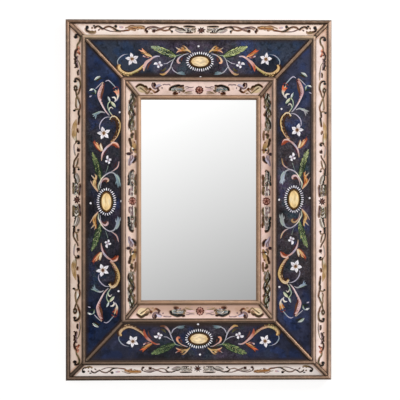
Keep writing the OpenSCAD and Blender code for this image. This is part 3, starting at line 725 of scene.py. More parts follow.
# for each rail, the way along it and the way in from the frame's edge
WAYS = {"bottom": ((1, 0, 0), (0, 0, 1)), "right": ((0, 0, 1), (-1, 0, 0)),
        "top": ((1, 0, 0), (0, 0, -1)), "left": ((0, 0, 1), (1, 0, 0))}
PANE_FRONT = -0.7  # a face whose normal's y is below this is a pane's front
PAINT_LAYER = 0.00006  # a layer of paint, and its height over the glass
PAINT_STEP = 0.0000022  # one stroke's height over the one before, for STEP_ROUND strokes
STEP_ROUND = 23
CROWN = 0.008  # how much a stroke rises at its middle, as a share of its half width
THINNEST = 0.02  # a stroke's least half width in mm
PALE = 0.55  # a colour that is lighter than this in all its parts is white, and stays as it is


def on_pane(node, side, along_by, across_by):
    """The matrix that lays a drawing in metres (along, across from the frame's edge, out) on a pane's face."""
    along, inward = (Vector(way) for way in WAYS[side])
    normal, area, spot = Vector((0, 0, 0)), 0.0, Vector((0, 0, 0))
    for face in nodes[node].data.polygons:
        if face.normal.y < PANE_FRONT:
            normal += face.normal * face.area
            spot += face.center * face.area
            area += face.area
    normal, spot = normal.normalized(), spot / area
    edge = Vector((middle.x, 0, middle.z)) - inward * abs(inward.x * half_w + inward.z * half_h)
    edge += along * along_by + inward * across_by
    edge.y = spot.y - ((edge - spot) * Vector((1, 0, 1))).dot(normal) / normal.y
    across = inward - Vector((0, normal.dot(inward) / normal.y, 0))
    columns = ((*along, 0), (*across, 0), (*normal, 0), (*edge, 1))
    return Matrix(columns).transposed()


def set_piece(name, mesh, place):
    """Puts a finished mesh in place, with its faces turned outwards, as a piece on the frame."""
    mesh.transform(place)
    if place.determinant() < 0:
        mesh.flip_normals()
    mesh.update()
    piece = bpy.data.objects.new(name, mesh)
    bpy.context.scene.collection.objects.link(piece)
    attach(piece, "frame")


def lay_paint(name, drawn, place, material, squeeze=1.0, weight=1.0):
    """Turns drawn strokes into brushed ribbons on a pane. Each is ((path, layer), mirrored or not)."""
    points, edges, widths, tones, strands = [], [], [], [], []
    for number, ((path, layer), turn) in enumerate(drawn):
        height = PAINT_LAYER + layer * PAINT_LAYER + (number % STEP_ROUND) * PAINT_STEP
        run, before = 0.0, None
        for spot, half, tone in path:
            if before is not None:
                run += (spot - before).length / 1000
                edges.append((len(points) - 1, len(points)))
            before = spot
            points.append((turn * spot.y / 1000, spot.x * squeeze / 1000, height))
            widths.append(max(half * weight, THINNEST) / 1000)
            tones.extend((*tone, 1.0))
            strands.extend((run, number * 1.7, 0.0))
    mesh = bpy.data.meshes.new(name + "_lines")
    mesh.from_pydata(points, edges, [])
    mesh.attributes.new("brush", "FLOAT", "POINT").data.foreach_set("value", widths)
    mesh.attributes.new("paint", "FLOAT_COLOR", "POINT").data.foreach_set("color", tones)
    mesh.attributes.new("strand", "FLOAT_VECTOR", "POINT").data.foreach_set("vector", strands)
    made = run_tree(bpy.data.objects.new(name + "_lines", mesh), brush_pull, {"Crown": CROWN, "Material": material})
    set_piece(name, made, place)


def both_halves(draw, ways, looks=None):
    """The same half painted twice, one mirrored. Each half has its own stretch along the rail, its lean
    across it, and how light its colours are; white stays white. A look names the half's own colours."""
    drawn = []
    for turn, (stretch, lean, light) in zip((1, -1), ways):
        strokes.clear()
        draw(*([looks[turn]] if looks else []))
        for path, layer in strokes:
            path = [(Vector((spot.x + spot.y * lean, spot.y * stretch)), half,
                     tone if min(tone) > PALE else tuple(min(0.9, part * light) for part in tone))
                    for spot, half, tone in path]
            drawn.append(((path, layer), turn))
    return drawn


def by_centre(drawn, draw, *what):
    """Adds what is painted once at a rail's middle to its two halves."""
    strokes.clear()
    draw(*what)
    return drawn + [(stroke, 1) for stroke in strokes]


pearl_ring, come, go = start_group(
    "pearl_ring", "GeometryNodeTree",
    [("Geometry", "Geometry", None), ("Count", "Int", 31), ("Long", "Float", 0.028), ("Wide", "Float", 0.0188),
     ("Pearl Length", "Float", 0.0068), ("Seed", "Int", 1), ("Material", "Material", None)],
    [("Geometry", "Geometry", None)])
ring = put(pearl_ring, "GeometryNodeCurvePrimitiveCircle", {"Resolution": 96, "Radius": 1.0}).outputs[0]
oval = put(pearl_ring, "ShaderNodeCombineXYZ", {0: come.outputs["Long"], 1: come.outputs["Wide"], 2: 1.0}).outputs[0]
ring = geo(pearl_ring, "GeometryNodeTransform", ring, {"Scale": oval})
beads = put(pearl_ring, "GeometryNodeCurveToPoints", {"Curve": ring, "Count": come.outputs["Count"]}).outputs
facing = put(pearl_ring, "FunctionNodeAlignRotationToVector", {"Vector": beads["Tangent"]}, axis="X", pivot_axis="Z")
lean = put(pearl_ring, "FunctionNodeRandomValue", {2: -0.2, 3: 0.2, "Seed": come.outputs["Seed"]}, data_type="FLOAT")
lean = put(pearl_ring, "FunctionNodeAxisAngleToRotation", {"Axis": (0, 0, 1), "Angle": lean.outputs[1]})
facing = put(pearl_ring, "FunctionNodeRotateRotation",
             {"Rotation": facing.outputs[0], "Rotate By": lean.outputs[0]}, rotation_space="LOCAL").outputs[0]
plump = put(pearl_ring, "FunctionNodeRandomValue", {0: (0.135, 0.40, 0.02), 1: (0.20, 0.52, 0.02),
                                                    "Seed": come.outputs["Seed"]}, data_type="FLOAT_VECTOR")
plump = put(pearl_ring, "ShaderNodeVectorMath", {0: plump.outputs[0], "Scale": come.outputs["Pearl Length"]},
            operation="SCALE").outputs[0]
drop = put(pearl_ring, "GeometryNodeMeshUVSphere", {"Segments": 10, "Rings": 6, "Radius": 1.0}).outputs[0]
drops = geo(pearl_ring, "GeometryNodeInstanceOnPoints", beads["Points"],
            {"Instance": drop, "Rotation": facing, "Scale": plump})
end_tree(pearl_ring, drops, come, go)

pearl_white, tree = start_material("pearl_white")
milk = ramp(tree, noise(tree, spot_of(tree), 420.0, 2.0), 0.36, 0.56)
end_material(tree, {"Base Color": blend(tree, milk, (0.58, 0.54, 0.64, 1), (0.95, 0.94, 0.96, 1)), "Roughness": 0.5,
                    "Specular IOR Level": 0.0, "Coat Weight": 0.3, "Coat Roughness": 0.06})
frieze_oil = paint_material("frieze_oil_colour", 0.25)
# for each half of a painting: its stretch along the rail, its lean across it and how light it is
frieze_ways = {"left": ((1.0, 0.0, 1.0), (1.0, -0.014, 0.9)), "right": ((1.012, -0.008, 1.0), (0.985, 0.014, 0.96)),
               "top": ((0.972, 0.0, 1.1), (1.0, 0.0, 1.14)), "bottom": ((0.976, 0.0, 1.0), (0.976, 0.0, 0.96))}
# the colours of each half, 1 for the upper or right one: those of both kinds of rail, then its own
both_keys = ("fringe", "curl", "horn", "plume", "vein")
side_keys = (*both_keys, "sprung", "blade", "tall", "tulip", "fan")
end_keys = (*both_keys, "bud", "stem", "scroll")
frieze_looks = {
    "left": {1: ([sand, gold, tan], [grey, lilac, dusty, dusty, tan], dusty, [moss, green, moss, lichen], hay,
                 [rose, salmon, salmon, rose], [pewter, seen(126, 150, 158), slate],
                 [grey, pink, pink, pink, rose, pink, rose, tan], salmon, [pewter, slate, pewter]),
             -1: ([ochre, amber, sand], [grey, lilac, dusty, pink, dusty], dusty, [moss, lichen, moss, green], lime,
                  [rose, rust, salmon, brick], [grey, seen(156, 170, 184), seen(132, 148, 162)],
                  [grey, dusty, pink, dusty, rose, dusty, rose, brick], brick, [slate, pewter, slate])},
    "right": {1: ([flame, amber, brick], [grey, dusty, pink, pink, dusty], sand, [lichen, hay, green, lime], lime,
                  [dusty, rose, brick, brick], [grey, seen(172, 186, 200), seen(196, 208, 220)],
                  [grey, lilac, dusty, dusty, seen(190, 140, 150), dusty, rose, brick], flame,
                  [seen(206, 204, 208), seen(176, 174, 178), seen(150, 150, 152)]),
              -1: ([amber, gold, amber], [grey, dusty, tan, sand, sand], tan, [green, hay, moss, lichen], lime,
                   [rose, salmon, salmon, rose], [grey, seen(160, 166, 164), seen(140, 148, 148)],
                   [grey, pink, pink, dusty, rose, pink, rose, tan], amber,
                   [seen(196, 204, 214), seen(150, 168, 186), seen(132, 152, 172)])},
    "top": {1: ([ochre, amber, sand], [grey, lilac, tan, tan, salmon], sand, [lichen, hay, lichen, bud], bud,
                [salmon, flame, flame, rust], [lilac, pink, dusty, dusty, rose, brick, brick],
                [ochre, gold, gold, ripe, ripe, hay, dusty]),
            -1: ([sand, amber, tan], [grey, grey, lilac, dusty, dusty], ochre, [lichen, bud, hay, sage], bud,
                 [tan, gold, salmon, salmon], [lilac, lilac, dusty, dusty, dusty, dusty, tan],
                 [ochre, gold, gold, ripe, hay, ripe, dusty])},
    "bottom": {1: ([ochre, gold, brick], [grey, dusty, dusty, salmon, salmon], ochre, [moss, lichen, moss, green],
                   hay, [brick, flame, flame, rust], [lilac, dusty, rose, dusty, rose, brick, brick],
                   [ochre, sand, hay, sand, rose, sand, brick]),
               -1: ([sand, ochre, brick], [grey, dusty, sand, salmon, brick], brown, [moss, lichen, moss, green],
                    lichen, [brick, amber, flame, rust], [dusty, brick, brick, rose, brick, brick, rust],
                    [sand, tan, sand, tan, tan, sand, brick])}}
# where the two single pearls beside the medallion lie
pearl_dots = {"left": ((55.5, -3.3), (123, 1.3)), "right": ((55.5, 2.4), (123, -1.3)),
              "top": ((58.5, -3.3), (126.5, 1.3)), "bottom": ((57.4, 2.0), (124.3, -2.0))}
# how far each painting hangs along and across its rail, in mm
frieze_hang = {"left": (-3.6, 0.0), "right": (2.0, -6.0), "top": (2.2, 1.0), "bottom": (0.0, 0.4)}
PEARLS_OVER = 0.0003  # the pearls' middle over the glass
for side in SIDES:
    upright = side in ("left", "right")
    keys, draw, centre = (side_keys, side_half, 90.3) if upright else (end_keys, end_half, 92.3)
    looks = {half: dict(zip(keys, tones)) for half, tones in frieze_looks[side].items()}
    drawn = by_centre(both_halves(draw, frieze_ways[side], looks), medallion, (centre, 0), pearl_dots[side], upright)
    place = on_pane("frieze_glass_" + side, side, *times(1 / 1000, frieze_hang[side]))
    lay_paint("frieze_painting_" + side, drawn, place, frieze_oil)
    pearls = run_tree(bpy.data.objects.new("pearls", bpy.data.meshes.new("pearls")), pearl_ring,
                      {"Count": 31, "Long": 0.0280, "Wide": 0.0188, "Pearl Length": 0.0068,
                       "Seed": SIDES.index(side) + 3, "Material": pearl_white})
    pearls_at = place @ Matrix.Translation((0, centre / 1000, PEARLS_OVER))
    set_piece("medallion_pearls_" + side, pearls, pearls_at)

# --- Strip vines ------------------------------------------------------------------
# Thin dark vines painted on the pale strips: black and brown acanthus, balls and hooks, and
# ochre leaves. They run from a rosette at the middle of each side out to the corners.
soot, wine, earth = seen(66, 52, 30), seen(58, 28, 22), seen(112, 62, 34)
drab, fawn, haze = seen(128, 106, 72), seen(192, 154, 118), seen(172, 164, 156)
mauve, mallow, coal = seen(124, 100, 102), seen(176, 150, 148), seen(38, 44, 40)
chalk = seen(240, 232, 216)
INK = 0.35  # a pull whose colour has parts that add up to less than this is ink
GROUND_SHIFT = Vector((0.6, 0.5))  # how far the ground lies beside the ink, in mm


def ground(drawn, tone):
    """A soft warm ground beside each dark pull of a vine, as the painter lays before the ink."""
    under = []
    for (path, layer), turn in drawn:
        dark = sum(sum(step[2]) for step in path) / len(path) < INK
        if layer >= 2 and dark and len(path) > 4:
            moved = [(spot + GROUND_SHIFT, half * 1.2 + 0.9, tone) for spot, half, _ in path]
            under.append(((moved, 0), turn))
    return under + drawn


def ball(place, radius, tone=black):
    """A round dark berry."""
    dab(place, radius * 2, radius * 2, [tone], 3)


def rosette(centre, reach, tone, heart):
    """An eight-petalled dark flower with a lighter eye."""
    centre = Vector(centre)
    for number in range(8):
        way = arm(45 * number + 12) * reach
        pull([centre + way * 0.2, centre + way * 0.7, centre + way * 1.06], times(reach, (0.34, 0.42, 0.12)),
             [tone], 2, gap=1.0)
    dab(centre, reach * 1.05, reach * 1.05, [tone], 3)
    for number in range(4):
        dab(centre + arm(90 * number + 30) * reach * 0.34, reach * 0.34, reach * 0.26, [heart], 4, 90 * number)


def scalloped_rosette(centre, reach, tone, pale, heart):
    """A round flower with a dark scalloped rim, a pale ring and a brown heart."""
    centre = Vector(centre)
    for number in range(10):
        dab(centre + arm(36 * number + 8) * reach * 0.78, reach * 0.56, reach * 0.46, [tone], 2, 36 * number + 98)
    dab(centre, reach * 1.3, reach * 1.3, [pale], 3)
    for number in range(5):
        dab(centre + arm(72 * number + 20) * reach * 0.42, reach * 0.42, reach * 0.36, [heart], 4, 72 * number)
    dab(centre, reach * 0.5, reach * 0.5, [tone], 5)


def tangle(line, width, tones, count):
    """A bundle of thin strands along one line, as foliage is drawn with the tip of the brush."""
    for number in range(count):
        thin = width / count * hand.uniform(0.9, 1.6)
        shift = ((number + 0.5) / count - 0.5) * width
        pull(line, [thin * 0.4, thin, thin * 0.8, thin, thin * 0.3], [tones[number % len(tones)]],
             2 + number % 2, shift, loose=width * 0.09)


def end_vine():
    """Half of the vine on the outer strip of the top or bottom rail; 0 across is the edge bead."""
    # the acanthus by the rosette
    pull([(13, 58), (16, 50), (20, 40)], [4, 8, 9, 4], [haze, mallow, haze], 1)
    tangle([(12, 54), (16, 42), (15, 28), (13, 12)], 10, [haze, chalk, drab, haze, coal], 7)
    pull([(8, 41), (13, 34.5), (17, 30)], [1.6, 2.6, 1.6], [chalk], 2)
    pull([(8.5, 36), (12.5, 26.5), (16, 20.5)], [2.4, 3, 1.6], [grey, haze, mauve], 2)
    pull([(5.9, 57), (8.4, 52), (10.5, 47.5), (11.5, 43), (14, 38.5), (17, 35.5), (20, 33)],
         [1.6, 3.4, 2.6, 3.6, 2.8, 3.4, 1.8], [black, umber, black], 3)
    pull([(6.3, 61), (6, 58), (7.4, 54)], [2.4, 3, 2.6], [black, umber], 3)
    for side in (1, -1):
        sprays([(13, 40), (13.4, 26), (13, 11)], [5.4, 6.6, 5.4], 5, [haze, coal, chalk, drab, soot], side, 52, 0.05,
               0.9, 0.26, 3)
    pull([(5.1, 39), (5.3, 26), (5.6, 12.5)], [1.4, 3.8, 3.9, 3.4, 1.6], [soot, black, umber], 3)
    pull([(20.4, 33.5), (21, 26), (20.4, 18.5)], [2.2, 1.8, 1.6], [black, umber], 3)
    for along in (29.3, 24.6):
        ball((17.6, along), 2)
    pull([(19.5, 17), (19, 12)], [2, 3.2, 1], [drab], 1)
    for start in (54, 48, 42):
        pull([(12, start), (17, start - 4)], [0.9, 1.1, 0.4], [mauve], 2)
    # the hook and the two strands that cross
    pull([(14, 72), (9.2, 69), (6.3, 65), (6.5, 60)], [1.6, 3.4, 4.2, 2.6], [umber, black], 3)
    pull([(13.6, 70), (16, 67), (18, 65.5)], [1, 1.8, 1.8], [umber], 3)
    ball((18.3, 64.9), 2.4)
    pull([(5, 64.5), (5.5, 74), (6.7, 80), (10.4, 88.5), (9.4, 94.5), (7.2, 99), (6.3, 105), (6.4, 112), (9.2, 120)],
         [2.2, 1.8, 2, 3, 2.6, 2, 2.6, 2.4, 2.4], [umber, mauve, brown, mauve, wine, mauve, wine], 2)
    pull([(13.4, 71), (15.4, 80.5), (14.2, 85), (12.5, 90), (13.4, 94), (15.9, 99), (16.7, 103)],
         [1.8, 2.2, 1.8, 2.4, 1.8], [brown, earth, brown, wine], 2)
    pull([(11.4, 110), (12, 96)], [1.6, 4.5, 1.6], [chalk], 0)
    for turn in (45, 135):
        dab((16.7, 105.2), 8.6, 4.8, [wine], 3, turn)
    pull([(9.2, 121), (13.4, 123.4), (17.5, 122.3)], [2.6, 3.8, 3.8], [wine], 3)
    ball((18.2, 120.6), 3, wine)
    # the ochre leaf, its brown heart and the rust stem
    pull([(8.4, 124.5), (8, 133), (8.6, 143), (9.4, 154), (11.3, 161)], [2, 6.5, 8, 7.2, 2.4],
         [fawn, seen(216, 178, 138), sand, fawn], 1)
    tangle([(8.4, 126), (8, 140), (9, 152), (11, 162)], 8.6, [sand, fawn, earth, amber, brown, fawn], 6)
    for across, along in ((6.8, 128), (10.6, 133), (7.4, 141), (11, 147), (8.6, 153), (12.4, 159)):
        dab((across, along), 3.4, 1.8, [brown], 4, 80)
    pull([(13.5, 95), (9.6, 100), (8.8, 107), (10.8, 113), (14, 117)], [0.9, 1.4, 1.6, 1.4, 0.8],
         [mauve, wine, mauve], 2)
    pull([(15, 98), (12, 102), (11.6, 107), (13.2, 111)], [0.8, 1.4, 1.2, 0.7], [mallow, mauve], 2)
    pull([(10, 90), (13, 94), (14.6, 100)], [0.8, 1.4, 0.8], [mauve], 2)
    pull([(6.7, 124.5), (4.6, 130.4), (3.8, 136), (4.6, 146), (3, 151.7), (4.3, 157.6), (7.2, 162.7), (9.2, 168.6)],
         [1.4, 2, 1.6, 2.2, 2, 2, 1.6, 1.2], [earth, drab, earth, drab], 2)
    pull([(9, 154), (12, 149.5), (15.5, 145)], [2, 5, 4.6, 1.8], [earth, brown, earth], 2)
    pull([(14.2, 142), (12.1, 137.8), (10.5, 132), (9.2, 125.3)], [1.6, 2, 1.8, 1.2], [drab], 2)
    for start in (130, 137):
        pull([(5.5, start), (9.5, start + 2.5)], [0.6, 1.2, 0.5], [drab], 3)
    pull([(12, 156), (15, 161), (15.6, 166), (16.8, 171.5), (17.4, 178)], [2.2, 4.2, 4.2, 3.6, 3],
         [fawn, earth, brown, earth], 2)
    pull([(8, 172), (7, 182)], [3, 5.5, 3], [rose, lilac], 0)
    # the long crossing strands and the hook at the corner
    pull([(17.4, 177), (17.1, 181.8), (16.3, 185.5), (14, 189.5), (10.5, 193.5), (8.6, 196), (6.2, 200), (5.5, 204.5),
          (6.4, 209.5), (8.5, 213), (12.1, 215.8)], [2.6, 3, 4.2, 3.8, 3.2, 2.8, 2.8, 2.8, 3, 2.8, 3],
         [soot, black, soot, wine, brown, wine], 3)
    ball((5.2, 189.2), 3.2)
    pull([(5, 191.5), (7.6, 195)], [2.2, 1.8], [drab], 2)
    pull([(17.5, 186), (18.8, 190), (18.6, 196), (17.4, 203), (14.9, 209.7), (13.3, 214)],
         [2.2, 1.8, 2.4, 2.2, 2.8, 1.8], [drab, mauve, brown], 2)
    pull([(12.1, 215.6), (10.6, 219.4), (9.3, 221.4), (6.8, 224.3), (5, 227.5), (5.8, 231.4), (7.8, 234.2),
          (11.2, 236)], [3.2, 3.4, 3.6, 3.2, 3, 3.6, 4, 2.8], [wine, black, umber, black], 3)
    pull([(3.7, 235), (5, 240)], [2, 4.2, 2.4], [black], 3)
    ball((9, 241.3), 1.8, brown)
    pull([(13, 224.4), (16.2, 228.4)], [2.6, 3.8, 2.6], [mauve, brown], 2)
    pull([(9, 255), (13.9, 254.6), (17.1, 252.4), (19, 249), (20, 245), (21, 240), (20.6, 236), (19.2, 232.6)],
         [3.8, 3.8, 4, 4.4, 5.4, 5.8, 5, 2.4], [black, black, umber, drab, drab, fawn], 2)
    ball((8.1, 252.4), 3.8)
    for along in (248, 241.3, 234.2):
        ball((17.8, along), 1.5, brown)


def side_vine():
    """Half of the vine on the outer strip of a side rail; 0 across is the edge bead."""
    # the acanthus by the rosette
    pull([(15.5, 58), (19.5, 49), (23, 38)], [5, 8.5, 8, 4], [haze, haze, drab], 1)
    tangle([(15, 58), (19, 49), (22, 38)], 7, [drab, haze, mauve, chalk], 4)
    tangle([(15, 38), (16, 26), (15, 18), (16, 11)], 14, [haze, drab, chalk, mauve, sage, coal], 9)
    for side in (1, -1):
        sprays([(16, 42), (16.4, 27), (16, 10)], [6.4, 8, 6.4], 7, [coal, chalk, soot, haze, drab], side, 50, 0.03,
               0.92, 0.26, 3)
    pull([(25, 36), (26.2, 31), (25.3, 26), (24.4, 16), (23.4, 9)], [2.4, 4.2, 4.4, 4.4, 3],
         [brown, wine, mauve, wine, brown], 2)
    pull([(20.5, 21), (21.5, 12)], [2, 4.4, 2], [mauve, brown], 1)
    pull([(11.3, 34), (12, 26), (12.6, 19)], [2.6, 4.2, 2.6], [sage, drab], 1)
    pull([(14.6, 36), (15.8, 30), (15.6, 24)], [1.6, 3.2, 1.6], [chalk], 2)
    pull([(9.6, 68), (12.2, 61), (12.4, 53), (13.2, 47), (15.2, 43.8), (16.1, 38.2), (19, 34.6)],
         [2, 3.6, 2.8, 3.6, 3.4, 3.2, 1.8], [black, soot, black, soot], 3)
    for across, along in ((8.3, 58.5), (13.2, 41.2), (18.8, 31.2), (20.5, 28.4), (18.6, 25), (21, 20.8),
                          (17.6, 17.6)):
        ball((across, along), 1.5, black if along > 22 else soot)
    ball((14, 21.6), 1.5, olive)
    pull([(8.6, 37.8), (7.9, 29), (8.2, 22), (8.1, 12.6)], [3.2, 2.6, 2.6, 3.2, 1.8], [black, soot, drab, wine], 3)
    # the hook, the two strands and the diamond flower
    pull([(11, 70), (16.1, 72.2), (20, 72), (22.4, 68)], [2, 1.8, 1.8, 1.8], [umber, drab, umber], 2)
    ball((22.2, 66.6), 2.3)
    pull([(11.6, 58.5), (10.9, 64), (11, 69.5), (9.3, 73), (9.7, 78), (11.3, 84.5), (15.3, 91), (19, 96),
          (21.8, 102.5)], [3.6, 4.4, 4, 2.4, 2.4, 2.6, 2.4, 2.4, 2.2],
         [black, black, wine, soot, soot, umber, wine], 3)
    pull([(15.3, 73.2), (17.8, 77.5), (19.4, 84), (21, 91)], [1.4, 2.6, 2.2, 1.2], [drab, soot, drab], 2)
    pull([(14.4, 76), (14.6, 84)], [1.4, 3, 1.4], [chalk], 0)
    for turn in (48, 138):
        dab((21.6, 109.6), 9, 5, [wine], 3, turn)
    pull([(20.4, 113), (20.2, 117)], [2, 0.8], [wine], 3)
    pull([(13.9, 97), (12.1, 105), (11.3, 111), (10.1, 117), (11.3, 122), (14.9, 125)], [1.8, 3, 3, 3.2, 2.2, 2],
         [drab, haze, mallow, drab], 2)
    pull([(14.9, 125), (16.1, 128), (20.2, 129), (23.6, 127.2), (23, 123.6)], [2.2, 3.2, 3, 3.4, 3.2],
         [soot, umber, black], 3)
    ball((21.8, 124.6), 2.6)
    pull([(16.1, 129), (16.3, 140), (15.8, 151)], [1.8, 1.4, 1], [olive, drab], 2)
    # the ochre leaf, the brown drop and the thick black stem
    pull([(14, 131), (11.2, 141), (10.8, 152), (12.5, 164), (16.5, 178)], [3, 9.5, 10.5, 8, 2],
         [ivory, ochre, tan, ochre, tan], 1)
    for across, start, end in ((11.3, 158, 140), (8.6, 153, 138), (14.4, 165, 148), (12.6, 173, 160)):
        pull([(across, start), (across - 0.6, (start + end) / 2), (across, end)], [0.8, 1.6, 0.8], [ochre, drab], 2)
    pull([(18.4, 156.8), (19.8, 152), (21.6, 147.5)], [2.2, 4.2, 1.8], [earth, umber], 3)
    pull([(21, 165), (22.2, 172), (23.2, 178), (24, 184), (22.4, 188), (23, 192.5), (23.4, 197)],
         [2.2, 3.6, 3.2, 3.8, 3.2, 3.8, 3], [earth, umber, black, umber, black], 3)
    ball((11.3, 196.8), 2.4)
    pull([(12.4, 198.6), (16.1, 199.4), (20.2, 199), (23, 197.5)], [2, 2, 2.2, 2], [soot, drab, drab], 2)
    # the strands that cross and the three-lobed bud
    pull([(16.9, 203), (15, 208), (15.3, 213.6), (15.7, 220.7), (16.2, 225), (18.6, 229)], [2.8, 2.2, 2.4, 2, 2, 2.2],
         [soot, drab, drab, olive], 2)
    pull([(24, 197), (25.8, 203), (26.2, 210), (23.8, 215.5), (21, 221.4), (18.6, 226.5), (16.9, 230.6),
          (15.3, 236.3), (13.8, 243)], [2.6, 2.6, 3, 2.8, 3, 2.8, 2.8, 2.4, 2.8],
         [umber, earth, umber, drab, soot, umber], 3)
    dab((14.6, 246), 9, 6, [drab], 2)
    for corner in ((14.6, 239.6), (14.6, 252.4)):
        for edge in (10.4, 18.8):
            pull([corner, (edge, 246)], [2, 3.2, 2.6], [soot, umber], 3)
    ball((14.6, 246.6), 1.3, haze)
    for between in ([(20, 262), (21.4, 254), (20.4, 245)], [(19.6, 222), (21.4, 213), (19.8, 204)]):
        pull(between, [1, 5, 1], [chalk], 0)
    pull([(18.6, 230.6), (22.2, 236), (24.2, 242), (26.2, 247), (27.4, 252.7), (26.6, 257.6), (24.4, 262.6),
          (20.2, 266), (15.4, 266.8), (12.5, 264)], [2.4, 2.4, 2.8, 3.2, 2.8, 2.8, 3.4, 3.8, 3.8, 3.4],
         [drab, soot, earth, umber, drab, umber, black, black], 3)
    ball((13.7, 261.4), 3)
    # the broken dark stem, the red bud and the hook at the corner
    pull([(21.4, 274.5), (20.4, 281), (22.6, 286)], [2.4, 3.2, 3.4, 1.8], [umber, black], 3)
    pull([(28, 268), (28.2, 282), (27.2, 289.4), (26, 296), (23.8, 302), (20.2, 308)], [1.2, 1.8, 2, 2.2, 1.8, 1.2],
         [tan, drab, drab, olive], 2)
    pull([(19.4, 291.5), (16.4, 295), (15.3, 300), (13.8, 304.5), (14, 309), (15.6, 312.6), (13.3, 318), (13.2, 323),
          (14.8, 327.5), (18.4, 332.5)], [2.6, 3.8, 3.2, 3.4, 3, 4, 3.2, 3.6, 4.4, 3.6],
         [umber, black, umber, black, wine, wine], 3)
    for number in range(8):
        along = 292 + number * 4.6
        ball((14.6 + (2.6 if number % 2 else -2.4) + abs(along - 306) * 0.08, along), 1.7, (wine, umber)[number % 2])
    tangle([(21, 291), (18.6, 300), (18.2, 310), (19.4, 318)], 3.8, [mallow, mauve, mallow], 3)
    pull([(26.4, 270), (26.6, 280), (25, 290)], [1.6, 3.6, 1.6], [mallow, lilac], 0)
    pull([(18.6, 338), (22.4, 335), (24.2, 331)], [2.4, 4, 2.2], [brick, salmon, rust], 3)
    dab((20.2, 333), 3.6, 2.6, [maroon], 4)
    dab((25.4, 322), 4, 3.4, [rust], 4)
    pull([(18.6, 332), (20.4, 329), (22.6, 325), (25.2, 320)], [2.4, 4.2, 4.6, 3.8, 1.8],
         [earth, salmon, rust, wine], 3)
    pull([(18, 331), (19, 341), (21.8, 345), (24.2, 348.5), (26.2, 353.5), (26.6, 358.4), (24.2, 363), (18.6, 365),
          (13.5, 362.4)], [3.2, 2.4, 2.6, 3, 3.4, 3.4, 3.8, 4.2, 3.8],
         [earth, drab, olive, drab, soot, olive, umber, black, black], 3)
    ball((15.2, 359.2), 3.8)


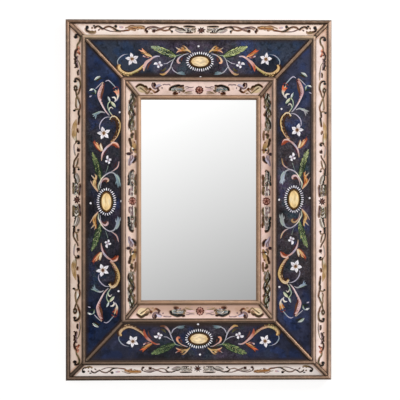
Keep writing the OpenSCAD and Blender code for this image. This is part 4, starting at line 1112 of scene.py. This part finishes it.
def inner_side_vine():
    """Half of the vine on the blush strip of a side rail; 0 across is the frieze bead."""
    # the two strokes by the rosette and the grey acanthus
    pull([(9.5, 12.5), (9.5, 20.6), (10.8, 25), (14.5, 28.5)], [2.4, 2.4, 2.4, 1.8], [wine, mauve, wine], 2)
    pull([(22, 32), (24.6, 27.4), (24.9, 22.8), (25.2, 18), (22, 14)], [3.4, 3.4, 4, 3.4, 3],
         [soot, drab, soot, drab], 2)
    pull([(16, 24), (16.5, 14)], [2, 4.5, 2], [chalk, ivory], 1)
    pull([(16, 27), (17.5, 21)], [1.2, 2.6, 1.2], [haze], 2)
    pull([(15.5, 65), (15.8, 57), (16.2, 50), (15.6, 42), (18.4, 33)], [4, 9.5, 11, 10, 5],
         [sage, haze, haze, haze, drab], 1)
    tangle([(15, 66), (15.5, 54), (16, 42), (18, 32)], 10, [drab, haze, chalk, mauve, haze, coal], 8)
    tangle([(16, 33), (16, 22), (16, 11)], 11, [chalk, mauve, haze, mallow], 5)
    dab((13.4, 43), 3.4, 2.8, [chalk], 2)
    for side in (1, -1):
        sprays([(15.4, 64), (16, 48), (16, 34)], [5, 6.6, 5], 6, [coal, haze, drab, chalk, earth], side, 46, 0.04,
               0.94, 0.24, 3)
        sprays([(16, 31), (16, 12)], [4.4, 5, 4], 3, [mauve, chalk, wine], side, 50, 0.04, 0.9, 0.24, 3)
    pull([(15.5, 38), (18.6, 34.5)], [2, 5, 2.2], [olive], 2)
    pull([(20.5, 67.5), (17.2, 66.4), (13.5, 64.5), (11.1, 61), (10.6, 58), (8.4, 53.5), (9.6, 50), (8.2, 47),
          (9.8, 44.6), (8.2, 39.6), (7.4, 34.4)], [3, 4.6, 3.2, 3.4, 3.8, 3.4, 4.2, 3.4, 4.2, 3.8, 3.4],
         [umber, black, coal, black, coal, black], 3)
    pull([(23.2, 54), (24, 47), (25, 40), (25, 33.5)], [2.4, 3.2, 3.2, 2.4], [drab, soot, soot], 2)
    pull([(25.6, 59), (26.2, 53), (25.6, 47)], [1.8, 3.6, 1.8], [umber, earth], 3)
    for start in (59, 52, 45):
        pull([(12.5, start), (17.5, start - 3.4)], [0.9, 1.3, 0.4], [slate, drab], 2)
    # the mauve scroll with its dark berry
    pull([(8.8, 78), (12, 87), (15.5, 94), (14.5, 102)], [3.4, 6, 9, 8, 4], [mallow, lilac, mallow], 1)
    pull([(8.5, 79), (10.1, 85.5), (12.4, 93), (10.8, 101)], [1.4, 2.4, 2.2, 1.6], [mauve], 2)
    pull([(14, 89), (17, 96), (18, 102)], [1.2, 2.2, 1.6], [mauve], 2)
    ball((8.2, 104.4), 3.6, seen(52, 30, 34))
    pull([(16.4, 84), (21, 88.4), (24.4, 93), (24.4, 97), (26.2, 100.4)], [2.2, 3.4, 4.4, 4.2, 2.8],
         [umber, wine, black, umber, earth], 3)
    pull([(17.4, 105.8), (13.8, 108.4), (12.8, 114), (14.6, 119)], [2.6, 2.8, 2.4, 1.6], [mauve, soot, drab], 2)
    # the ochre leaf with its black knotted edge
    pull([(15.4, 138), (18.4, 129.5), (21.4, 121.5), (24, 112), (25.2, 106)], [4, 9, 9.6, 7.5, 3],
         [tan, fawn, ochre, drab, ochre], 1)
    pull([(10.4, 139.5), (10.6, 134.6), (12.4, 131), (12.8, 126.4), (14, 123), (16.4, 120.6)],
         [3, 4.8, 4.4, 4.6, 3.6, 3], [umber, umber, soot], 3)
    pull([(16, 118.4), (20, 113)], [2, 3, 1.8], [chalk], 2)
    ball((19.6, 113.4), 2.3)
    ball((25.2, 113.6), 2.2, earth)
    pull([(21.5, 132.6), (22.8, 128.8)], [2, 3.4, 1.8], [earth], 2)
    pull([(23.4, 157), (25, 147), (24.8, 135)], [1.8, 3, 3, 1.8], [drab, earth], 2)
    pull([(20.6, 150), (15.8, 147), (15.2, 144), (16.6, 138.6)], [3.2, 5, 4.4, 2.6], [soot, umber, olive], 3)
    pull([(15.4, 157), (13.2, 151.6)], [2.4, 3.4, 2.4], [drab], 2)
    pull([(20.4, 164), (19.4, 156)], [3, 6.4, 3], [haze, drab], 1)
    # the shaggy foliage up to the corner: two dark strands that cross over a grey-green body
    pull([(14, 158), (15, 175), (15, 190), (14.6, 205), (16, 220), (18, 238)], [5, 10, 9.5, 10.5, 11, 5],
         [haze, haze, drab, haze, sage, drab], 1)
    tangle([(14, 156), (13, 172), (17, 188), (13, 204), (18, 222), (17, 240)], 12,
           [haze, chalk, drab, soot, mallow, olive, chalk, coal], 9)
    pull([(9.6, 160), (9, 169), (12, 177.5), (17.6, 185), (20, 194), (16.6, 203), (12, 211), (12.6, 221), (18, 231),
          (17.4, 240)], [2, 3.2, 3.8, 3, 3.6, 3, 3.4, 3.8, 3.2, 1.4],
         [umber, black, soot, black, umber, coal, black, umber], 3)
    pull([(17, 160), (20.4, 169), (18.4, 178), (12, 187), (9.4, 196), (13, 205), (19, 213), (22.4, 222), (18, 231),
          (13, 238)], [1.6, 2.6, 3, 2.8, 3.2, 2.6, 3, 3.6, 2.8, 1.4], [drab, soot, drab, black, drab, soot, umber], 3)
    for across, along, long in ((14.6, 169, 9), (15, 194.5, 10), (16.6, 221.5, 10)):
        dab((across, along), long, 3.6, [chalk], 2)
    for across, along in ((7.4, 165), (7.2, 191), (21.6, 188), (21.8, 206), (8.4, 215), (24.4, 229)):
        pull([(across, along), (across + 1.6, along + 4.4), (across + 0.6, along + 8)], [1.2, 3, 1.2],
             [umber, earth], 2)
    for number in range(9):
        along = 163 + number * 8.6
        pull([(11.5, along), (14.6, along + 3.4), (19.4, along + 5.4)], [0.7, 1.5, 0.6],
             [(mauve, olive, coal)[number % 3]], 4)


def inner_end_vine():
    """Half of the vine on the blush strip of the top or bottom rail; 0 across is the frieze bead."""
    # the thin strands by the rosette
    pull([(12, 33), (10.6, 27), (12.4, 23), (12.8, 18), (11.6, 12.4)], [1.6, 2.2, 2, 2.4, 1.8],
         [mallow, mauve, mallow], 2)
    pull([(16.2, 31), (15.2, 26), (13.2, 22)], [1.4, 2.2, 1.2], [mallow], 2)
    pull([(26, 33), (23.6, 27.6), (22.6, 23), (22.6, 16)], [1.8, 3, 3, 1.6], [drab, seen(150, 130, 108)], 2)
    pull([(26.8, 30), (26.8, 22), (27.2, 15)], [1.4, 2.2, 1.2], [fawn, mallow], 2)
    pull([(19, 30), (18.4, 12)], [1.6, 4.5, 1.6], [pink], 0)
    # the broad grey acanthus with its thick black edge
    pull([(17.5, 62), (16.6, 54), (17, 47), (17.6, 38)], [5, 9.5, 10.5, 9, 5], [sage, haze, grey, haze], 1)
    tangle([(17.5, 62), (16.6, 54), (17, 46), (18, 36)], 9, [haze, drab, chalk, slate, mallow], 7)
    for start in (58, 53, 48, 43):
        pull([(13.5, start), (18, start - 4), (22, start - 6)], [1, 1.7, 0.8], [slate, mauve], 2)
    for side in (1, -1):
        sprays([(18, 62), (17.4, 50), (18, 38)], [5.4, 7, 5.4], 6, [slate, coal, chalk, haze], side, 46, 0.04,
               0.94, 0.24, 3)
    for start in (55.5, 46):
        pull([(14, start), (19, start - 4.4)], [0.8, 1.6, 0.6], [chalk], 2)
    pull([(20, 65.4), (16.4, 64.4), (12.8, 62.4), (11.5, 58.6), (9.8, 54), (8.7, 49), (9, 44.6), (9.5, 40.4),
          (8.4, 37), (8.5, 33.6)], [3.2, 4.4, 3.8, 4.6, 4.6, 4.8, 4.6, 4.2, 3.8, 2.6],
         [black, black, coal, black, black, wine], 3)
    ball((14.2, 35.6), 2.3, drab)
    ball((14.2, 35.6), 1.1, haze)
    ball((18, 36), 1.3, soot)
    pull([(18.2, 31), (21.4, 34.6), (23.6, 36.6)], [1.8, 2.8, 2], [drab, soot, drab], 2)
    pull([(23.3, 52), (26, 56), (26.6, 51.5), (25.6, 47)], [3.8, 4.4, 4, 2.6], [umber, wine, earth], 3)
    pull([(22.6, 46.4), (24.6, 42.4)], [2.2, 3.4, 2], [mauve], 2)
    pull([(19, 49), (22.8, 51)], [1.6, 2.4], [mauve, wine], 2)
    pull([(8.2, 64.6), (6, 66.6), (6.2, 72), (6.1, 77), (7, 81.4)], [2, 2.4, 2.6, 2.4, 2], [mauve, mallow, mauve], 2)
    # the mauve scroll ring, its berry and the tan scroll below it
    pull([(12, 97), (9, 90.8), (5.8, 85.6)], [4, 8, 7, 3], [lilac, seen(206, 190, 202), lilac], 1)
    pull([(2, 102.6), (5.6, 105), (10.4, 104.4), (14, 101.6), (15.6, 97.4), (13.4, 93.6), (10.6, 88.6), (8, 83.4)],
         [2.6, 3.2, 3.4, 3.4, 3.6, 3.2, 2.6, 1.8], [wine, mauve, mauve, mauve, mallow], 2)
    pull([(1.4, 100.6), (4.4, 99.4), (6.6, 99)], [2.6, 3.2, 3.4], [wine], 3)
    ball((7, 98.8), 3.3, seen(50, 30, 36))
    ball((15.6, 91.6), 2.3, seen(70, 48, 48))
    pull([(13, 81), (14.6, 84)], [2.2, 3.2, 2], [mauve], 2)
    pull([(17, 107), (21.2, 102), (24, 98), (22.4, 93.4), (18.4, 88)], [2.6, 3.8, 4, 4.2, 2.4],
         [fawn, fawn, earth, umber, brown], 2)
    pull([(25.2, 109), (26.2, 103)], [2, 2.8, 1.8], [fawn, drab], 2)
    # the ochre leaf with its black comma
    pull([(13, 138), (16.5, 130), (20, 122), (22, 115)], [5, 13, 13.5, 9, 3],
         [seen(226, 206, 170), seen(222, 198, 158), tan], 1)
    pull([(12, 141), (10, 137.4), (7.4, 134), (6.5, 130.4), (8.2, 125), (10.3, 122.6), (10.9, 118.6), (14, 116),
          (17.8, 113.2)], [2.4, 3.6, 4.2, 4.4, 4.4, 4, 4.4, 3.6, 2.2], [umber, umber, soot, umber, drab], 3)
    pull([(13, 132.4), (15.6, 128.4), (18.8, 124.4), (22.4, 119.6), (25.6, 115.8), (22.4, 112), (20.3, 110)],
         [2.2, 2.6, 2.4, 2.4, 2.6, 2.2, 1.8], [soot, drab, drab, drab], 2)
    pull([(12.4, 123), (19.8, 116.6)], [1.6, 2.4, 1.4], [fawn, earth], 2)
    pull([(13.4, 110.4), (17, 108.8), (19.4, 107)], [2.6, 5, 3.8], [umber, earth], 3)


vine_ink = paint_material("vine_oil_colour", 0.3)
vine_ways = {"left": ((1.0, 0.0, 1.0), (1.0, -0.008, 0.9)), "right": ((1.0, -0.011, 1.0), (1.0, 0.0, 1.0)),
             "top": ((1.0, 0.0, 1.0), (1.0, 0.0, 1.0)), "bottom": ((1.0, 0.0, 1.15), (1.0, 0.0, 1.15))}
# how far a strip's vine hangs along and across it in mm, how loaded the brush is, and the tone of its ground
outer_vines = {"left": (1.0, -0.4, 1.15, seen(190, 158, 132)), "right": (-3.2, -4.4, 1.0, seen(196, 164, 142)),
               "top": (5.3, 1.0, 1.05, seen(190, 158, 134)), "bottom": (-3.0, 3.0, 0.74, seen(222, 204, 190))}
inner_vines = {"left": (-1.9, -1.2, 1.25), "right": (-2.8, -4.0, 1.1), "top": (1.0, 0.6, 1.05),
               "bottom": (2.6, -2.0, 1.2)}
for side in SIDES:
    upright = side in ("left", "right")
    along_by, across_by, load, under = outer_vines[side]
    drawn = ground(both_halves(side_vine if upright else end_vine, vine_ways[side]), under)
    drawn = by_centre(drawn, rosette, (17.6 if upright else 15.2, 0), 8.6, seen(66, 30, 22), seen(122, 88, 76))
    place = on_pane("outer_glass_" + side, side, along_by / 1000, outer_band[0] + across_by / 1000)
    lay_paint("outer_vine_" + side, drawn, place, vine_ink, 0.88, load)
    along_by, across_by, load = inner_vines[side]
    draw, heart, edge, squeeze = ((inner_side_vine, 16.9, 0.1335, 0.90) if upright else
                                  (inner_end_vine, 18.6, 0.1377, 0.95))
    drawn = ground(both_halves(draw, vine_ways[side]), seen(168, 130, 106))
    drawn = by_centre(drawn, scalloped_rosette, (heart, 0), 9.2, seen(92, 42, 32), seen(196, 146, 130),
                      seen(124, 70, 56))
    place = on_pane("inner_glass_" + side, side, along_by / 1000, edge + across_by / 1000)
    lay_paint("inner_vine_" + side, drawn, place, vine_ink, squeeze, load)

# --- Beads ---------------------------------------------------------------------
# Half-round wooden mouldings that hold the panes' edges, glued along the rails and over
# the mitres. They are bronzed with leaf over dark umber, which shows along their feet together
# with a painted shadow where they meet the glass.
beads = {band + "_bead_" + side: "gold" if band == "sight" else "plain"
         for band in ("edge", "crest", "frieze", "sight") for side in SIDES}
beads |= {band + "_mitre_bead_" + corner: "dark" if corner == "bl" else "mitre"
          for band in ("outer", "frieze", "inner") for corner in ("br", "tr", "tl", "bl")}
# Several shades are lighter or darker copies of one bronze that paint light and shade on single beads. The darker
# copies are painted shade on the bottom and lower-left beads, the top edge bead and the top-right outer mitre. The
# mitre copy's higher foot is a wider painted shadow along the mitre beads. The worn and peach copies are painted
# light on the right-hand beads and the left sight bead, and the worn one is also more rubbed.
beads |= {"edge_bead_right": "worn", "edge_bead_top": "sooty", "crest_bead_top": "olive", "crest_bead_right": "worn",
          "crest_bead_bottom": "dark", "frieze_bead_left": "rosy", "frieze_bead_right": "rosy",
          "frieze_bead_bottom": "dark", "sight_bead_left": "peach", "outer_mitre_bead_tr": "sooty"}
# each shade of bronze: its warm and olive leaf, how far it is rubbed, and how high its umber foot and painted foot
# shadow come
shades = {"plain": (bronze_warm, bronze_olive, 0.4, 0.0),
          "dark": ((0.125, 0.068, 0.040, 1), (0.076, 0.050, 0.032, 1), 0.25, 0.0),
          "sooty": ((0.155, 0.088, 0.052, 1), (0.100, 0.066, 0.042, 1), 0.35, 0.16),
          "gold": ((0.35, 0.190, 0.100, 1), (0.25, 0.145, 0.078, 1), 0.5, -0.18),
          "worn": ((0.44, 0.305, 0.235, 1), (0.26, 0.178, 0.130, 1), 0.9, 0.07),
          "peach": ((0.47, 0.270, 0.160, 1), (0.33, 0.200, 0.118, 1), 0.5, -0.3),
          "rosy": ((0.34, 0.215, 0.165, 1), (0.23, 0.158, 0.124, 1), 0.6, -0.14),
          "olive": ((0.40, 0.30, 0.20, 1), (0.27, 0.215, 0.135, 1), 0.6, -0.14),
          "mitre": ((0.27, 0.160, 0.100, 1), (0.17, 0.112, 0.074, 1), 0.5, 0.13)}
for shade, (warm, cool, worn, foot_shade) in shades.items():
    bronzed, tree = start_material("bronzed_bead_" + shade)
    facing = sums(tree, "MULTIPLY_ADD", parts(tree, spot_of(tree, "Normal"))[1], -1.0, -foot_shade)
    coat = put(tree, "ShaderNodeGroup", {"Position": spot_of(tree), "Facing": facing, "Warm": warm, "Olive": cool,
                                         "Rubbed": worn}, node_tree=leaf).outputs
    end_material(tree, {"Base Color": coat["Color"], "Metallic": 0.6, "Roughness": coat["Roughness"],
                        "Normal": bumps(tree, 0.35, 0.0008, coat["Height"])})
    paint([name for name, its_shade in beads.items() if its_shade == shade], bronzed)

# --- Mirror and backing ---------------------------------------------------------
# A plain silvered mirror in the rails' rebate, with a hardboard sheet behind it that
# is held by headless steel sprigs.
silvered, tree = start_material("silvered_mirror")
bloom = noise(tree, spot_of(tree), 5.0, 2.0)
end_material(tree, {"Base Color": blend(tree, bloom, (0.93, 0.935, 0.935, 1), (0.95, 0.95, 0.945, 1)),
                    "Metallic": 1.0, "Roughness": ramp(tree, bloom, 0.3, 0.7, 0.0, 0.015)})
paint(["mirror_glass"], silvered)

hardboard, tree = start_material("hardboard")
place = spot_of(tree)
fibre = noise(tree, place, 420.0, 3.0, 0.5, 1.2)
patch = ramp(tree, noise(tree, place, 9.0, 3.0), 0.35, 0.65)
colour = blend(tree, patch, (0.19, 0.105, 0.055, 1), (0.25, 0.145, 0.078, 1))
colour = blend(tree, ramp(tree, fibre, 0.52, 0.68, 0.0, 0.6), colour, (0.36, 0.23, 0.13, 1))
end_material(tree, {"Base Color": colour, "Roughness": 0.8, "Normal": bumps(tree, 0.3, 0.0003, fibre)})
paint(["backing_board"], hardboard)


def metal_material(name, light, dark, rough, scale):
    """Plated metal with dull spots."""
    made, tree = start_material(name)
    spots = noise(tree, spot_of(tree), scale, 4.0, 0.65)
    end_material(tree, {"Base Color": blend(tree, ramp(tree, spots, 0.4, 0.65), light, dark),
                        "Metallic": 1.0, "Roughness": ramp(tree, spots, 0.35, 0.65, rough, rough + 0.2)})
    return made


paint(["backing_sprigs"], metal_material("sprig_steel", (0.50, 0.50, 0.50, 1), (0.22, 0.20, 0.19, 1), 0.35, 700.0))

# --- Hangers --------------------------------------------------------------------
# Two folded straps of zinc-plated steel, each screwed to a side rail and holding a brass
# ring that swings on the strap's fold and goes over the wall hook.
zinc = metal_material("zinc_steel", (0.62, 0.63, 0.64, 1), (0.42, 0.43, 0.45, 1), 0.25, 160.0)
brass = metal_material("brass_wire", (0.78, 0.56, 0.25, 1), (0.50, 0.33, 0.13, 1), 0.18, 220.0)
paint(["hanger_strap_left", "hanger_strap_right", "hanger_screws"], zinc)
paint(["hanger_ring_left", "hanger_ring_right"], brass)

# --- Bumpers --------------------------------------------------------------------
# Two soft rubber buttons glued to the lower corners of the back. They keep the frame
# upright and off the wall.
rubber, tree = start_material("bumper_rubber")
dust = noise(tree, spot_of(tree), 500.0, 2.0)
end_material(tree, {"Base Color": blend(tree, ramp(tree, dust, 0.5, 0.7), (0.018, 0.018, 0.019, 1),
                                        (0.05, 0.048, 0.045, 1)),
                    "Roughness": 0.7, "Normal": bumps(tree, 0.2, 0.0002, dust)})
paint(["wall_bumpers"], rubber)

# --- Room -----------------------------------------------------------------------
# A white wall that the frame hangs on, a large soft lamp high on the right and a weak
# one low on the left, and the camera straight in front.
wall_reach, wall_y = 6.0, 0.0006
wall_mesh = bpy.data.meshes.new("wall")
wall_mesh.from_pydata([(x * wall_reach, wall_y, z * wall_reach) for x, z in ((-1, -1), (1, -1), (1, 1), (-1, 1))],
                      [], [(0, 1, 2, 3)])
wall = bpy.data.objects.new("wall", wall_mesh)
bpy.context.scene.collection.objects.link(wall)
for ray in ("visible_diffuse", "visible_glossy", "visible_transmission", "visible_shadow"):
    setattr(wall, ray, False)
plaster, tree = start_material("white_wall")
lit = put(tree, "ShaderNodeBsdfDiffuse", {"Color": (0.30, 0.29, 0.28, 1)})
glow = put(tree, "ShaderNodeEmission", {"Color": (1, 1, 1, 1), "Strength": 0.80})
both = put(tree, "ShaderNodeAddShader", {0: lit.outputs[0], 1: glow.outputs[0]})
clear = put(tree, "ShaderNodeBsdfTransparent")
behind = put(tree, "ShaderNodeNewGeometry").outputs["Backfacing"]
one_sided = put(tree, "ShaderNodeMixShader", {0: behind, 1: both.outputs[0], 2: clear.outputs[0]})
put(tree, "ShaderNodeOutputMaterial", {"Surface": one_sided.outputs[0]})
wall.data.materials.append(plaster)


def lamp(name, place, power, size, colour, shows=True):
    """A square soft lamp that faces the mirror; shows is whether the mirror reflects it."""
    light = bpy.data.lights.new(name, "AREA")
    light.energy, light.size, light.color = power, size, colour
    made = bpy.data.objects.new(name, light)
    made.location = place
    made.rotation_euler = (middle - Vector(place)).to_track_quat("-Z", "Y").to_euler()
    made.visible_glossy = shows
    bpy.context.scene.collection.objects.link(made)


lamp("key_lamp", (1.9, -1.5, 1.3), 50, 0.8, (1.0, 0.97, 0.93))
lamp("fill_lamp", (-1.6, -1.8, -0.6), 20, 1.6, (0.98, 0.98, 1.0), False)
lamp("back_lamp", (0.8, 2.4, 1.2), 45, 1.4, (1.0, 1.0, 1.0))

world = bpy.data.worlds.new("studio")
bpy.context.scene.world = world
world.use_nodes = True
tree = world.node_tree
tree.nodes.clear()
way = parts(tree, spot_of(tree, "Generated"))
reflected = 0.0
# the room that the mirror reflects: its shade upwards, across, to the right, the left, the floor and the ceiling
for axis, low, high, at_low, at_high in (
        (2, -0.089, 0.056, 0.42, 1.11), (0, -0.03, 0.09, 0.125, -0.125), (0, 0.09, 0.8, 0.0, 1.5),
        (0, -0.8, -0.03, -0.2, 0.0), (2, -0.8, -0.09, -0.15, 0.0), (2, 0.06, 0.8, 0.0, 0.5)):
    reflected = sums(tree, "ADD", reflected, ramp(tree, way[axis], low, high, at_low, at_high, "LINEAR"))
mirrored = plain_tone(tree, sums(tree, "MAXIMUM", reflected, 0.12))
rays = put(tree, "ShaderNodeLightPath").outputs
soft = blend(tree, rays["Is Glossy Ray"], (0.48, 0.48, 0.49, 1), mirrored)
plain = sums(tree, "MAXIMUM", rays["Is Camera Ray"], rays["Is Transmission Ray"])
sky = put(tree, "ShaderNodeBackground", {"Color": blend(tree, plain, soft, (1, 1, 1, 1)), "Strength": 1.0})
put(tree, "ShaderNodeOutputWorld", {"Surface": sky.outputs[0]})

view = bpy.data.cameras.new("camera")
view.sensor_width, view.lens = 36.0, 141.1
camera = bpy.data.objects.new("camera", view)
camera.location = (-0.11, -3.5, middle.z + 0.03)
looked_at = Vector((0.0032, 0, middle.z))
camera.rotation_euler = (looked_at - camera.location).to_track_quat("-Z", "Y").to_euler()
bpy.context.scene.collection.objects.link(camera)
bpy.context.scene.camera = camera
bpy.context.scene.view_settings.view_transform = "Standard"
